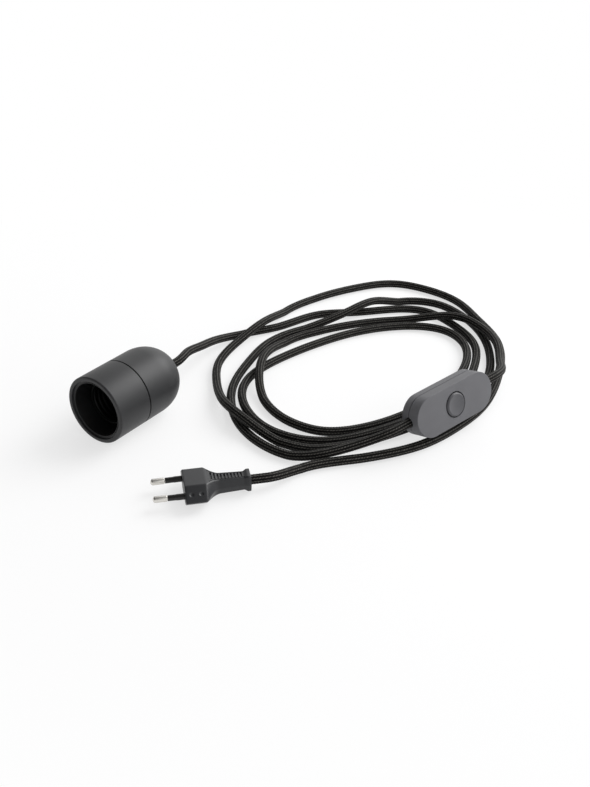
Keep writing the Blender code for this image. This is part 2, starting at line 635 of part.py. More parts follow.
def add_terminal_screws(frame):
    for k, side in enumerate((1, -1)):
        low = CARRIER_BACK - TERMINAL_SCREW_DEPTH
        seat = CARRIER_BACK + GAP
        head = seat + TERMINAL_HEAD_HEIGHT
        profile = [(0.0, head), (TERMINAL_HEAD_RADIUS * 0.8, head),
                   (TERMINAL_HEAD_RADIUS, head - TERMINAL_HEAD_HEIGHT * 0.35),
                   (TERMINAL_HEAD_RADIUS, seat), (TERMINAL_SCREW_RADIUS, seat),
                   (TERMINAL_SCREW_RADIUS, low + 0.5 * MM), (TERMINAL_SCREW_RADIUS * 0.6, low),
                   (0.0, low)]
        place = Matrix.Translation((side * TERMINAL_SPACING / 2, 0, 0))
        add_part(f"terminal_screw_{k + 1}", turned_mesh("terminal_screw", profile, 16), "screw_steel",
                 frame, place)


def add_cord_grip(frame):
    """A split block at the dome's tip that clamps the cord with two screws."""
    half = GRIP_WIDTH / 2
    past = 1 * MM
    lower = box_mesh("cord_grip", (-half, GAP / 2, GRIP_FRONT), (half, GRIP_HEIGHT, GRIP_BACK))
    upper = box_mesh("cord_grip_bar", (-half, -GRIP_TOP, GRIP_FRONT), (half, -GAP / 2, GRIP_BACK))
    block = add_part("cord_grip", lower, "insert_plastic", frame)
    bar = add_part("cord_grip_bar", upper, "insert_plastic", frame)
    hole = rod_mesh("grip_bore", CORD_HOLE_RADIUS, GRIP_FRONT - past, GRIP_BACK + past)
    bore = add_cutter("grip_bore", hole, frame)
    screw_end = GRIP_FLOOR - GRIP_HEIGHT
    head_low = GRIP_TOP + GAP
    head_high = head_low + GRIP_HEAD_HEIGHT
    for k, side in enumerate((1, -1)):
        place = Matrix.Translation((side * (half - GRIP_SCREW_EDGE), 0, (GRIP_FRONT + GRIP_BACK) / 2))
        place = place @ Matrix.Rotation(pi / 2, 4, "X")
        shaft = rod_mesh("grip_screw_hole", GRIP_SCREW_RADIUS + GAP, screw_end, GRIP_TOP + past, 12)
        cutter = add_cutter(f"grip_screw_hole_{k + 1}", shaft, frame, place)
        boolean(block, cutter)
        boolean(bar, cutter)
        profile = [(0.0, head_high), (GRIP_HEAD_RADIUS - GRIP_HEAD_CHAMFER, head_high),
                   (GRIP_HEAD_RADIUS, head_high - GRIP_HEAD_CHAMFER), (GRIP_HEAD_RADIUS, head_low),
                   (GRIP_SCREW_RADIUS, head_low), (GRIP_SCREW_RADIUS, screw_end + GAP),
                   (0.0, screw_end + GAP)]
        add_part(f"grip_screw_{k + 1}", turned_mesh("grip_screw", profile, 12), "screw_steel", frame, place)
    boolean(block, bore)
    boolean(bar, bore)


def add_holder_cores(frame):
    """Live and neutral cores from the cord's end to the terminal screws."""
    target = CARRIER_BACK + GAP + TERMINAL_HEAD_HEIGHT + CORE_RADIUS + GAP
    start = HOLDER_CORD_END - CORE_END_GAP
    for word, finish, side in (("live", "core_brown", 1), ("neutral", "core_blue", -1)):
        across = side * TERMINAL_SPACING
        points = [(side * CORE_SPACING / 2, 0, start), (side * CORE_SPACING / 2, 0, start - 3 * MM),
                  (across * 0.3, 0, target + 6 * MM), (across * 0.45, 0, target + 1 * MM),
                  (across * 0.5, 0, target)]
        add_wire(f"holder_{word}_core", points, finish, frame)


def add_switch_shells(frame):
    """Cover and base, split at the height of the cords, with screw bosses in the corners."""
    shape = stadium(SWITCH_LENGTH, SWITCH_WIDTH)
    hollow = stadium(SWITCH_LENGTH - 2 * SWITCH_WALL, SWITCH_WIDTH - 2 * SWITCH_WALL)
    upper = outline_mesh("switch_cover", shape, SEAM_HEIGHT + GAP / 2, SWITCH_TOP)
    lower = outline_mesh("switch_base", shape, -SWITCH_TOP, SEAM_HEIGHT - GAP / 2)
    cover = add_part("switch_cover", upper, "switch_plastic", frame)
    base = add_part("switch_base", lower, "switch_plastic", frame)
    for shell in (cover, base):
        bevel(shell, SWITCH_EDGE, 2, 60)
    room = outline_mesh("switch_room", hollow, SWITCH_FLOOR, SWITCH_CEILING)
    cavity = add_cutter("switch_room", room, frame)
    boolean(cover, cavity)
    boolean(base, cavity)
    for k, side in enumerate((1, -1)):
        x, y = side * BOSS_PLACE[0], side * BOSS_PLACE[1]
        place = Matrix.Translation((x, y, 0))
        low = rod_mesh("base_boss", BOSS_RADIUS, SWITCH_FLOOR - 0.5 * MM, SEAM_HEIGHT - GAP / 2, 16)
        high = rod_mesh("cover_boss", BOSS_RADIUS, SEAM_HEIGHT + GAP / 2, SWITCH_CEILING + 0.5 * MM, 16)
        boolean(base, add_cutter(f"base_boss_{k + 1}", low, frame, place), "UNION")
        boolean(cover, add_cutter(f"cover_boss_{k + 1}", high, frame, place), "UNION")
        shank = rod_mesh("screw_hole", HOUSING_SCREW_RADIUS + GAP, -SWITCH_TOP - 1 * MM,
                         SCREW_END + GAP, 12)
        head = rod_mesh("screw_well", HOUSING_HEAD_RADIUS + GAP, -SWITCH_TOP - 1 * MM,
                        -SWITCH_TOP + HOUSING_HEAD_DEPTH + GAP, 16)
        shank_cutter = add_cutter(f"screw_hole_{k + 1}", shank, frame, place)
        boolean(base, shank_cutter)
        boolean(cover, shank_cutter)
        boolean(base, add_cutter(f"screw_well_{k + 1}", head, frame, place))
    for k, side in enumerate((1, -1)):
        reach = SWITCH_LENGTH / 2 + 2 * MM
        hole = rod_mesh("cord_hole", CORD_HOLE_RADIUS, SWITCH_LENGTH / 2 - 6 * MM, reach, 20)
        place = Matrix.Translation((0, 0, SEAM_HEIGHT)) @ Matrix.Rotation(side * pi / 2, 4, "Y")
        cutter = add_cutter(f"cord_hole_{k + 1}", hole, frame, place)
        boolean(cover, cutter)
        boolean(base, cutter)
    opening = rod_mesh("button_opening", BUTTON_RADIUS + BUTTON_CLEARANCE, SWITCH_CEILING - 1 * MM,
                       SWITCH_TOP + 1 * MM, 40)
    boolean(cover, add_cutter("button_opening", opening, frame))


def add_push_button(frame):
    """The dished button with its hidden flange and stem, and the spring under its flange."""
    r = BUTTON_RADIUS
    top = SWITCH_TOP + BUTTON_PROUD
    flange_top = SWITCH_CEILING - GAP
    flange = r + BUTTON_FLANGE
    flange_low = flange_top - BUTTON_FLANGE_THICKNESS
    turns = [pi / 2 * i / 6 for i in range(7)]
    dish = [(r * 0.82 * sin(turn), top - BUTTON_DISH * cos(turn) ** 2) for turn in turns]
    profile = dish + [(r * 0.9, top), (r, top - 0.8 * MM), (r, flange_top), (flange, flange_top),
                      (flange, flange_low), (STEM_RADIUS, flange_low), (STEM_RADIUS, STEM_END),
                      (0.0, STEM_END)]
    add_part("push_button", turned_mesh("push_button", profile, 32), "button_plastic", frame)
    coil_radius = STEM_RADIUS + SPRING_WIRE + GAP
    high = flange_low - GAP - SPRING_WIRE
    low = BRIDGE_TOP + GAP + SPRING_WIRE
    count = SPRING_TURNS * SPRING_POINTS_PER_TURN
    points = []
    for i in range(count + 1):
        turn = 2 * pi * i / SPRING_POINTS_PER_TURN
        points.append((coil_radius * cos(turn), coil_radius * sin(turn), high + (low - high) * i / count))
    add_tube("button_spring", points, SPRING_WIRE, "spring_steel", frame)


def add_switch_contacts(frame):
    """Two live terminals with contact pads, the bridge over them and the neutral terminal."""
    floor = SWITCH_FLOOR + GAP
    length, width, height = TERMINAL_BLOCK
    inset = TERMINAL_INSET
    for k, side in enumerate((-1, 1)):
        x = side * BRIDGE_LENGTH / 2
        pad = box_mesh("live_terminal", (x - CONTACT_PAD_LENGTH / 2, -width / 2, floor),
                       (x + CONTACT_PAD_LENGTH / 2, LIVE_TERMINAL_REACH, PAD_TOP))
        terminal = add_part(f"live_terminal_{k + 1}", pad, "brass", frame)
        x += side * LIVE_BLOCK_SHIFT
        block = box_mesh("live_block", (x - length / 2, LIVE_TERMINAL_REACH - width, floor + inset),
                         (x + length / 2, LIVE_TERMINAL_REACH - inset, floor + height))
        boolean(terminal, add_cutter(f"live_block_{k + 1}", block, frame), "UNION")
    reach = BRIDGE_LENGTH / 2 + BRIDGE_OVERHANG
    bridge = box_mesh("contact_bridge", (-reach, -BRIDGE_WIDTH / 2, PAD_TOP + GAP),
                      (reach, BRIDGE_WIDTH / 2, BRIDGE_TOP))
    add_part("contact_bridge", bridge, "brass", frame)
    neutral = box_mesh("neutral_terminal", (-length, -NEUTRAL_SIDE - width / 2, floor),
                       (length, -NEUTRAL_SIDE + width / 2, floor + height))
    add_part("neutral_terminal", neutral, "brass", frame)


def add_switch_screws(frame):
    seat = -SWITCH_TOP + HOUSING_HEAD_DEPTH
    for k, side in enumerate((1, -1)):
        profile = [(0.0, SCREW_END), (HOUSING_SCREW_RADIUS, SCREW_END),
                   (HOUSING_SCREW_RADIUS, seat), (HOUSING_HEAD_RADIUS, seat),
                   (HOUSING_HEAD_RADIUS, -SWITCH_TOP + GAP), (0.0, -SWITCH_TOP + GAP)]
        place = Matrix.Translation((side * BOSS_PLACE[0], side * BOSS_PLACE[1], 0))
        add_part(f"housing_screw_{k + 1}", turned_mesh("housing_screw", profile, 16), "screw_steel",
                 frame, place)


def add_cord_clamps(frame):
    """A strap over each cord end, on two legs that stand on the base's floor."""
    length, width, thickness = CLAMP_SIZE
    strap_low = SEAM_HEIGHT + CORD_RADIUS + GAP
    inset = CLAMP_LEG_INSET
    for k, side in enumerate((-1, 1)):
        x = side * CLAMP_PLACE
        mesh = box_mesh("cord_clamp", (x - length / 2, -width / 2, strap_low),
                        (x + length / 2, width / 2, strap_low + thickness))
        strap = add_part(f"cord_clamp_{k + 1}", mesh, "insert_plastic", frame)
        for j, across in enumerate((1, -1)):
            y = across * CLAMP_LEG_SPACING / 2
            half = CLAMP_LEG_WIDTH / 2
            leg = box_mesh("clamp_leg", (x - length / 2 + inset, y - half, SWITCH_FLOOR + GAP),
                           (x + length / 2 - inset, y + half, strap_low + inset))
            boolean(strap, add_cutter(f"clamp_leg_{k + 1}_{j + 1}", leg, frame), "UNION")


def add_switch_cores(frame):
    """Cores from each cord end to the terminals; neutral runs straight through its block."""
    height = SEAM_HEIGHT
    top = SWITCH_FLOOR + GAP + TERMINAL_BLOCK[2] + CORE_RADIUS + GAP
    start = SWITCH_CORD_END - CORE_END_GAP
    offset = CORE_SPACING / 2
    for k, side in enumerate((-1, 1)):
        live = [(side * start, offset, height), (side * (start - CORE_STRAIGHT), offset, height),
                (side * (BRIDGE_LENGTH / 2 + LIVE_CORE_BEND[0]), LIVE_CORE_BEND[1], top),
                (side * BRIDGE_LENGTH / 2, LIVE_CORE_SIDE, top)]
        add_wire(f"live_core_{k + 1}", live, "core_brown", frame)
        neutral = [(side * start, -offset, height), (side * (start - CORE_STRAIGHT), -offset, height),
                   (side * NEUTRAL_CORE_BEND[0], -NEUTRAL_CORE_BEND[1], top),
                   (side * NEUTRAL_CORE_ENTRY, -NEUTRAL_SIDE, top),
                   (side * NEUTRAL_CORE_END, -NEUTRAL_SIDE, top)]
        add_wire(f"neutral_core_{k + 1}", neutral, "core_blue", frame)


def plug_section(x, width, thickness, flat, corner):
    """A six-sided section across the plug, each corner cut by a short flat."""
    half, high, top = width / 2, thickness / 2, flat / 2
    corners = [(half, 0.0), (top, high), (-top, high), (-half, 0.0), (-top, -high), (top, -high)]
    points = []
    for i, (y, z) in enumerate(corners):
        for neighbour in (corners[i - 1], corners[(i + 1) % 6]):
            dy, dz = neighbour[0] - y, neighbour[1] - z
            length = sqrt(dy * dy + dz * dz)
            points.append((x, y + dy / length * corner, z + dz / length * corner))
    return points


def neck_section(x, width, height):
    """A section of the plug's neck with the same point count as the head's."""
    return plug_section(x, width, height, width * 0.72, min(width, height) * 0.14)


def add_plug_body(frame):
    """The moulded body: six-sided head, hollowed shoulder, ribbed neck and end flange."""
    neck_w, neck_h = PLUG_NECK
    end_w, end_h = PLUG_NECK_END
    flange_w, flange_h = PLUG_FLANGE
    c = PLUG_FACE_CHAMFER
    sections = [
        plug_section(0.0, PLUG_WIDTH - 2 * c, PLUG_THICKNESS - 2 * c, PLUG_TOP_FLAT, PLUG_CORNER),
        plug_section(c, PLUG_WIDTH, PLUG_THICKNESS, PLUG_TOP_FLAT, PLUG_CORNER),
        plug_section(PLUG_HEAD_LENGTH, PLUG_WIDTH, PLUG_THICKNESS, PLUG_TOP_FLAT, PLUG_CORNER)]
    for share, pull in ((0.25, 0.42), (0.5, 0.72), (0.75, 0.91)):
        x = PLUG_HEAD_LENGTH + PLUG_SHOULDER_LENGTH * share
        width = PLUG_WIDTH + (neck_w - PLUG_WIDTH) * pull
        thickness = PLUG_THICKNESS + (neck_h - PLUG_THICKNESS) * share
        flat = PLUG_TOP_FLAT + (neck_w * 0.72 - PLUG_TOP_FLAT) * pull
        sections.append(plug_section(x, width, thickness, flat, PLUG_CORNER + 0.5 * MM * share))
    start = PLUG_FLANGE_START
    sections += [
        neck_section(PLUG_SHOULDER_END, neck_w, neck_h), neck_section(start - 0.8 * MM, end_w, end_h),
        neck_section(start, flange_w - c, flange_h - c), neck_section(start + c, flange_w, flange_h),
        neck_section(PLUG_LENGTH - c, flange_w, flange_h),
        neck_section(PLUG_LENGTH, flange_w - c, flange_h - c)]
    body = add_part("plug_body", loft_mesh("plug_body", sections), "plug_plastic", frame)
    hollow_plug(body, frame)
    for k in range(PLUG_RIBS):
        add_rib_grooves(body, frame, k)


def hollow_plug(body, frame):
    """The pocket for the pins' plate, the cord's bore and the channel for its cores."""
    half_y, half_z = BRIDGE_PLATE[0] / 2 + GAP, BRIDGE_PLATE[1] / 2 + GAP
    pocket = box_mesh("plug_pocket", (-1 * MM, -half_y, -half_z), (POCKET_DEPTH, half_y, half_z))
    boolean(body, add_cutter("plug_pocket", pocket, frame))
    bore = rod_mesh("plug_cord_bore", CORD_HOLE_RADIUS, PLUG_CORD_END - GAP, PLUG_LENGTH + 1 * MM, 20)
    boolean(body, add_cutter("plug_cord_bore", bore, frame, Matrix.Rotation(pi / 2, 4, "Y")))
    half_y, half_z = CORE_SPACING / 2 + CORE_RADIUS + GAP, CORE_RADIUS + GAP
    channel = box_mesh("plug_core_channel", (POCKET_DEPTH - 1 * MM, -half_y, -half_z),
                       (PLUG_CORD_END + 0.5 * MM, half_y, half_z))
    boolean(body, add_cutter("plug_core_channel", channel, frame))


def add_rib_grooves(body, frame, k):
    """One groove between two grip ribs, on the plug's top and on its underside."""
    x = PLUG_RIB_START + PLUG_RIB_PITCH * k
    half = PLUG_RIB_PITCH * 0.22
    neck_h, end_h = PLUG_NECK[1], PLUG_NECK_END[1]
    share = min(1.0, max(0.0, (x - PLUG_HEAD_LENGTH) / PLUG_SHOULDER_LENGTH))
    high = (PLUG_THICKNESS + (neck_h - PLUG_THICKNESS) * share) / 2
    if x >= PLUG_SHOULDER_END:
        along = (x - PLUG_SHOULDER_END) / (PLUG_FLANGE_START - PLUG_SHOULDER_END)
        high = (neck_h + (end_h - neck_h) * along) / 2
    for side, word in ((1, "top"), (-1, "low")):
        groove = box_mesh("rib_groove", (x - half, -PLUG_WIDTH / 4, side * high - PLUG_RIB_DEPTH),
                          (x + half, PLUG_WIDTH / 4, side * high + PLUG_RIB_DEPTH))
        boolean(body, add_cutter(f"rib_groove_{word}_{k + 1}", groove, frame))


def pin_matrix(side):
    """Places a pin along its axis: Z runs from the tip to the foot inside the plug."""
    tip = Vector((-PIN_LENGTH, side * PIN_TIP_SPACING / 2, 0))
    foot = Vector((0, side * PIN_SPACING / 2, 0))
    run = (foot - tip).normalized()
    turn = atan2(run.y, run.x)
    return Matrix.Translation(tip) @ Matrix.Rotation(turn, 4, "Z") @ Matrix.Rotation(pi / 2, 4, "Y")


def add_pins(frame):
    """Each pin is a nickelled rod; a slim sleeve covers the half next to the plug."""
    bare = PIN_LENGTH - PIN_SLEEVE_LENGTH
    sleeve_end = PIN_LENGTH + BRIDGE_PLATE_DEPTH * 0.6
    sleeve_bore = PIN_CORE_RADIUS + GAP * 0.5
    for word, side in (("left", 1), ("right", -1)):
        place = pin_matrix(side)
        profile = [(0.0, PIN_LENGTH + PIN_DEPTH), (PIN_CORE_RADIUS, PIN_LENGTH + PIN_DEPTH),
                   (PIN_CORE_RADIUS, bare), (PIN_RADIUS, bare - 0.3 * MM), (PIN_RADIUS, 1.4 * MM),
                   (PIN_RADIUS * 0.8, 0.5 * MM), (PIN_RADIUS * 0.45, 0.1 * MM), (0.0, 0.0)]
        add_part(f"pin_{word}", turned_mesh("pin", profile, 20), "nickel", frame, place)
        sleeve = [(PIN_SLEEVE_RADIUS, sleeve_end), (PIN_SLEEVE_RADIUS, bare + GAP),
                  (sleeve_bore, bare + GAP), (sleeve_bore, sleeve_end)]
        cover = turned_mesh("pin_sleeve", sleeve, 20)
        add_part(f"pin_sleeve_{word}", cover, "sleeve_plastic", frame, place)


def add_pin_bridge(frame):
    """The plate between the pins, flush with the plug's face."""
    plate = box_mesh("pin_bridge", (0.0, -BRIDGE_PLATE[0] / 2, -BRIDGE_PLATE[1] / 2),
                     (BRIDGE_PLATE_DEPTH, BRIDGE_PLATE[0] / 2, BRIDGE_PLATE[1] / 2))
    bridge = add_part("pin_bridge", plate, "plug_plastic", frame)
    for k, side in enumerate((1, -1)):
        hole = rod_mesh("pin_hole", PIN_SLEEVE_RADIUS + GAP, PIN_LENGTH - 1 * MM,
                        PIN_LENGTH + BRIDGE_PLATE_DEPTH + 1 * MM, 20)
        boolean(bridge, add_cutter(f"pin_hole_{k + 1}", hole, frame, pin_matrix(side)))


def add_plug_cores(frame):
    """Cores from the cord's end through the channel to the feet of the pins."""
    start = PLUG_CORD_END - CORE_END_GAP
    foot = PIN_DEPTH + GAP + CORE_RADIUS
    for name, finish, side in (("plug_live_core", "core_brown", 1), ("plug_neutral_core", "core_blue", -1)):
        points = [(start, side * CORE_SPACING / 2, 0), (POCKET_DEPTH + 2 * MM, side * CORE_SPACING / 2, 0),
                  (POCKET_DEPTH - CORE_RADIUS - GAP, side * (CORE_SPACING / 2 + 0.6 * MM), 0),
                  (foot, side * PIN_SPACING * 0.36, 0), (foot, side * PIN_SPACING * 0.47, 0)]
        add_tube(name, points, CORE_RADIUS, finish, frame)


def cord_end(frame, inner, outer):
    """A cord's end inside a housing, where its straight stub ends outside, and the way out."""
    start = np.array(frame.matrix_world @ Vector(inner))
    stub = np.array(frame.matrix_world @ Vector(outer))
    return start, stub, (stub - start) / np.linalg.norm(stub - start)


def cord_points(first, route, last):
    """A straight stub out of each housing, and a smooth curve through the route between them."""
    start, start_stub, leave = first
    end, end_stub, back = last
    middle = [tuple(value * MM for value in point) for point in route]
    path = smooth_curve([start_stub] + middle + [end_stub], CORD_SAMPLES, leave, -back)
    path[:, 2] = np.maximum(path[:, 2], FLOOR * MM)
    return [start] + list(even_points(path, CORD_POINT_SPACING)) + [end]


def add_cords(holder, switch, plug):
    """One cord from the plug to the switch, one from the switch to the holder."""
    reach = SWITCH_LENGTH / 2
    at_plug = cord_end(plug, (PLUG_CORD_END, 0, 0), (PLUG_LENGTH + CORD_STUB, 0, 0))
    ends = [cord_end(switch, (side * SWITCH_CORD_END, 0, SEAM_HEIGHT),
                     (side * (reach + CORD_STUB), 0, SEAM_HEIGHT)) for side in (-1, 1)]
    at_holder = cord_end(holder, (0, 0, HOLDER_CORD_END), (0, 0, HOLDER_LENGTH + CORD_STUB))
    for name, points in (("cord_plug_to_switch", cord_points(at_plug, PLUG_TO_SWITCH, ends[0])),
                         ("cord_switch_to_holder", cord_points(ends[1], SWITCH_TO_HOLDER, at_holder))):
        add_tube(name, points, CORD_RADIUS, "cord_fabric", None)


def build_holder():
    place = Matrix.Translation((0, -HOLDER_LENGTH / 2, HOLDER_RADIUS)) @ Matrix.Rotation(-pi / 2, 4, "X")
    frame = add_frame("holder_frame", place)
    add_holder_skirt(frame)
    add_holder_dome(frame)
    add_thread_sleeve(frame)
    add_contact_carrier(frame)
    add_lamp_contacts(frame)
    add_terminal_screws(frame)
    add_cord_grip(frame)
    add_holder_cores(frame)
    return frame


def build_switch():
    turn = (Matrix.Rotation(radians(SWITCH_YAW), 4, "Z") @ Matrix.Rotation(-radians(SWITCH_PITCH), 4, "Y")
            @ Matrix.Rotation(radians(SWITCH_TILT), 4, "X"))
    frame = add_frame("switch_frame", Matrix.Translation(SWITCH_PLACE) @ turn)
    add_switch_shells(frame)
    add_push_button(frame)
    add_switch_contacts(frame)
    add_switch_screws(frame)
    add_cord_clamps(frame)
    add_switch_cores(frame)
    return frame


def build_plug():
    place = Matrix.Translation((*PLUG_PLACE, PLUG_AXIS_HEIGHT)) @ Matrix.Rotation(radians(PLUG_YAW), 4, "Z")
    frame = add_frame("plug_frame", place)
    add_plug_body(frame)
    add_pin_bridge(frame)
    add_pins(frame)
    add_plug_cores(frame)
    return frame


holder_frame = build_holder()
switch_frame = build_switch()
plug_frame = build_plug()
bpy.context.view_layer.update()
add_cords(holder_frame, switch_frame, plug_frame)
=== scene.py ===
"""Looks of a table lamp cord set: lamp holder, braided cord, inline switch and flat plug."""
import json
from math import atan2, cos, pi, radians, sin, sqrt

import bmesh
import bpy
import numpy as np
from mathutils import Matrix, Vector

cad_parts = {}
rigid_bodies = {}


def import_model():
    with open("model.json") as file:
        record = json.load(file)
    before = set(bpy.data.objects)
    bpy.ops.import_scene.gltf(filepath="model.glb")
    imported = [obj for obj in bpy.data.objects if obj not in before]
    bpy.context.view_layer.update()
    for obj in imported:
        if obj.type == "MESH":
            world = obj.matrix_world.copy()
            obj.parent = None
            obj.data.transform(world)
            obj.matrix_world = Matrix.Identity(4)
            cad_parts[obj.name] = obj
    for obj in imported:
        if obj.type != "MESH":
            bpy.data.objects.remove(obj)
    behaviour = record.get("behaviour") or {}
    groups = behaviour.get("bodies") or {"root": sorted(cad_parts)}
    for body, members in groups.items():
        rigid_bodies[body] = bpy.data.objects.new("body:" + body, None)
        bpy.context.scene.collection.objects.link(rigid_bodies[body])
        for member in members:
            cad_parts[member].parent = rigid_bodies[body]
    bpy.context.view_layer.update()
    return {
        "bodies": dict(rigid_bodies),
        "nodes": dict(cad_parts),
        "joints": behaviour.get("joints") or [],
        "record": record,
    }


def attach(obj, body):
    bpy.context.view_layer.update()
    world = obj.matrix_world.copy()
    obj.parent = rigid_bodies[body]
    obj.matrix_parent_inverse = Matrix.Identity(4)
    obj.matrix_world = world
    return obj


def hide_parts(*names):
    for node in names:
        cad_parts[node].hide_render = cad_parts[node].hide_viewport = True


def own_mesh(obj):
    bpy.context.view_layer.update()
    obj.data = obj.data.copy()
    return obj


MM = 0.001
BODY = "cord_set"
BUTTON_BODY = "push_button"

# Camera, from the photograph: where it stands, what it looks at and how far it zooms
CAMERA_PLACE = (0.4192, -0.4119, 0.3546)
CAMERA_AIM = (0.0698, 0.0897, 0.0)
CAMERA_LENS = 60.87
CAMERA_SENSOR = 36.0

# Studio
FLOOR_REACH = 6.0
FLOOR_DROP = 0.2 * MM  # how far the floor lies under the object
FLOOR_MIDDLE = (0.08, 0.09, 0.0)
FLOOR_FADE = (0.20, 0.46)  # distances from the middle over which the floor turns white
FLOOR_WHITE = 0.66  # its share of plain white near the object
HORIZON = 1.0  # brightness of the sky's lowest band
HORIZON_FADE = (0.14, 0.30)  # sines of the elevations over which that band ends
SKY_BRIGHT = 1.85  # towards the light side
SKY_DARK = 0.14  # towards the front left
SKY_OVERHEAD = 0.40  # share of it that is left overhead
SKY_SIDE = (0.52, 0.80, 0.0)  # where the bright side of the sky lies
SKY_FADE = (-0.55, 0.65)  # how far along that side the sky turns from dark to bright
OVERHEAD_FADE = (0.60, 0.95)  # sines of the elevations over which it darkens overhead
KEY_PLACE = (0.56, 1.20, 1.02)
KEY_SIZE = (1.1, 1.1)
KEY_POWER = 18.0

# Meshes
MERGE_DISTANCE = 1e-6
ON_AXIS = 1e-7  # anything nearer to the axis lies on it
TURN_STEPS, SMALL_TURN_STEPS, PIN_TURN_STEPS = 128, 96, 48
STADIUM_STEPS = 28  # steps round each end of the switch's outline
CUT_PAST = 1.0 * MM  # how far cutters reach past what they cut

# Where the three housings stand, as in the solids
HOLDER_LENGTH = 70.6 * MM
HOLDER_RADIUS = 23.5 * MM
HOLDER = Matrix.Translation((0, -HOLDER_LENGTH / 2, HOLDER_RADIUS)) @ Matrix.Rotation(-pi / 2, 4, "X")
SWITCH = (Matrix.Translation((179.1 * MM, 108.4 * MM, 20.3 * MM))
          @ Matrix.Rotation(radians(74.9), 4, "Z")
          @ Matrix.Rotation(-radians(3.2), 4, "Y")
          @ Matrix.Rotation(radians(74.5), 4, "X"))
PLUG_THICKNESS = 13.7 * MM
PLUG = (Matrix.Translation((85.7 * MM, -49.9 * MM, PLUG_THICKNESS / 2))
        @ Matrix.Rotation(radians(46.4), 4, "Z"))
GAP = 0.3 * MM  # between two pieces that fit together

# Cord
CORD_DIAMETER = 6.2 * MM
CORD_STUB = 9.0 * MM  # straight length outside a housing
CORD_SAMPLES = 2400
CORD_RING_STEP = 0.6 * MM
CORD_COLUMNS = 10  # lengthwise columns of stitches round the braid
SIDES_PER_COLUMN = 3
CORD_SIDES = SIDES_PER_COLUMN * CORD_COLUMNS
STITCH_LENGTH = 1.9 * MM
STITCH_SLOPE = 0.55
STITCH_DIP = 0.75  # share of the relief that lies within a stitch
YARNS_PER_STITCH = 5
BRAID_RELIEF = 0.20 * MM
BRAID_CREST = 0.05 * MM  # how far the stitches stand out past the cord's diameter
CORD_INSIDE = 6.0 * MM  # how far the braid reaches into a housing

# The cord's route, in millimetres. A point without a height lies on the floor.
FLOOR = CORD_DIAMETER / 2 / MM + 0.05
PLUG_TO_SWITCH = [
    (129, 11), (154, 42.5), (177.3, 77.3), (186.5, 112), (188.5, 147), (178.5, 192),
    (156.5, 238), (125, 267), (95, 288.5), (61, 295), (34, 289), (14, 266), (-4, 225),
    (-10, 189), (-5, 153, 9.8), (-5, 125, 7), (-1, 94), (19, 65), (45, 41, 8.5), (71, 29.5, 10),
    (101, 28), (125, 35), (148, 65), (165, 104), (176, 148), (174, 183), (158, 220), (135, 249),
    (105, 269), (78, 273), (57, 260), (46, 236, 10), (38, 207, 9), (21, 173), (12, 141),
    (18, 104), (32.5, 65.5), (57, 37), (84, 22), (114, 19), (136, 30.5, 7), (154.5, 50, 12.5),
]
SWITCH_TO_HOLDER = [
    (178, 194, 12), (162, 223, 10.5), (137, 244, 10), (112, 248, 10), (83, 235, 4.5), (59, 215),
    (32, 175), (22, 145), (27, 114, 9), (39, 89, 8.5), (60, 66), (88, 53), (116, 55), (136, 74),
    (151, 107), (157.5, 149.5), (153.3, 186.8), (139, 218), (117, 233), (93, 229), (67, 206),
    (49, 174), (35, 128), (32, 90), (43, 63), (69, 42), (96, 36), (123, 45), (145, 74),
    (160, 112), (167, 151), (159, 192), (143, 225), (117, 245), (86, 256), (63, 247), (38, 222),
    (15, 200), (2, 165), (-14, 137), (-17.3, 108.4, 9), (-10.6, 83, 16.5), (-5.2, 62.3, 22),
]

# Holder
SKIRT_LENGTH = 27.25 * MM
DOME_START = 27.75 * MM
DOME_STRAIGHT = 18.0 * MM
DOME_EXPONENT = 2.15
DOME_TIP_THICKNESS = 5.0 * MM
DOME_WALL = 2.6 * MM
DOME_STEPS = 40
DOME_LIP = (0.5 * MM, 0.06 * MM)  # rounding of the cord's hole, and how far back it lies
DOME_LIP_CLEAR = 0.4 * MM  # between that rounding and the dome's first point
CAVITY_STEPS = (4, 12)  # the first one beside the dome's curve, and their number
RIM_ROUNDING = 1.2 * MM
SEAM_CHAMFER = (0.25 * MM, 1.2 * MM)  # along and into the seam between the shells
INNER_RIM_ROUNDING = 0.45 * MM
REBATE_RADIUS = 20.6 * MM
REBATE_DEPTH = 1.6 * MM
MOUTH_BORE = 18.7 * MM
MOUTH_BEAD = 0.34 * MM  # half round bead round the bore
BORE_SHADE = 0.35  # painted shade: how dark the bore's colour is made beside the outside
BORE_SHADE_EDGE = (19.2 * MM, 20.0 * MM)  # distances from the axis over which that painted shade ends
BORE_SHADE_END = (-14.0 * MM, -12.0 * MM)  # and along the axis
WEB_START = 17.5 * MM
WEB_BACK = 20.1 * MM
SPIGOT_RADIUS = 20.0 * MM
SPIGOT_BORE = 18.0 * MM
SPIGOT_FRONT = 20.7 * MM
CAVITY_START = 37.0 * MM
CAVITY_RADIUS = 16.2 * MM
CORD_HOLE = 3.45 * MM
SLEEVE_FRONT = 12.0 * MM
SLEEVE_BACK = 31.0 * MM
SLEEVE_OUTER = 15.4 * MM
SLEEVE_ROUNDING = 0.5 * MM
THREAD_CREST = 13.2 * MM
THREAD_DEPTH = 0.8 * MM
THREAD_PITCH = 3.63 * MM
THREAD_STEPS, THREAD_ROWS = 96, 76  # round the sleeve and along it
THREAD_LIP = 0.2 * MM  # bare length at the sleeve's front
THREAD_ENDS = (1.6 * MM, 1.2 * MM)  # over which it rises in front and falls behind
FLANGE_FRONT = 20.4 * MM
FLANGE_BACK = 22.6 * MM
FLANGE_RADIUS = 17.7 * MM
CARRIER_FRONT = 22.9 * MM
CARRIER_INSIDE = 31.3 * MM
CARRIER_BACK = 36.7 * MM
CARRIER_INNER = 15.8 * MM
CARRIER_ROUNDING = 0.3 * MM
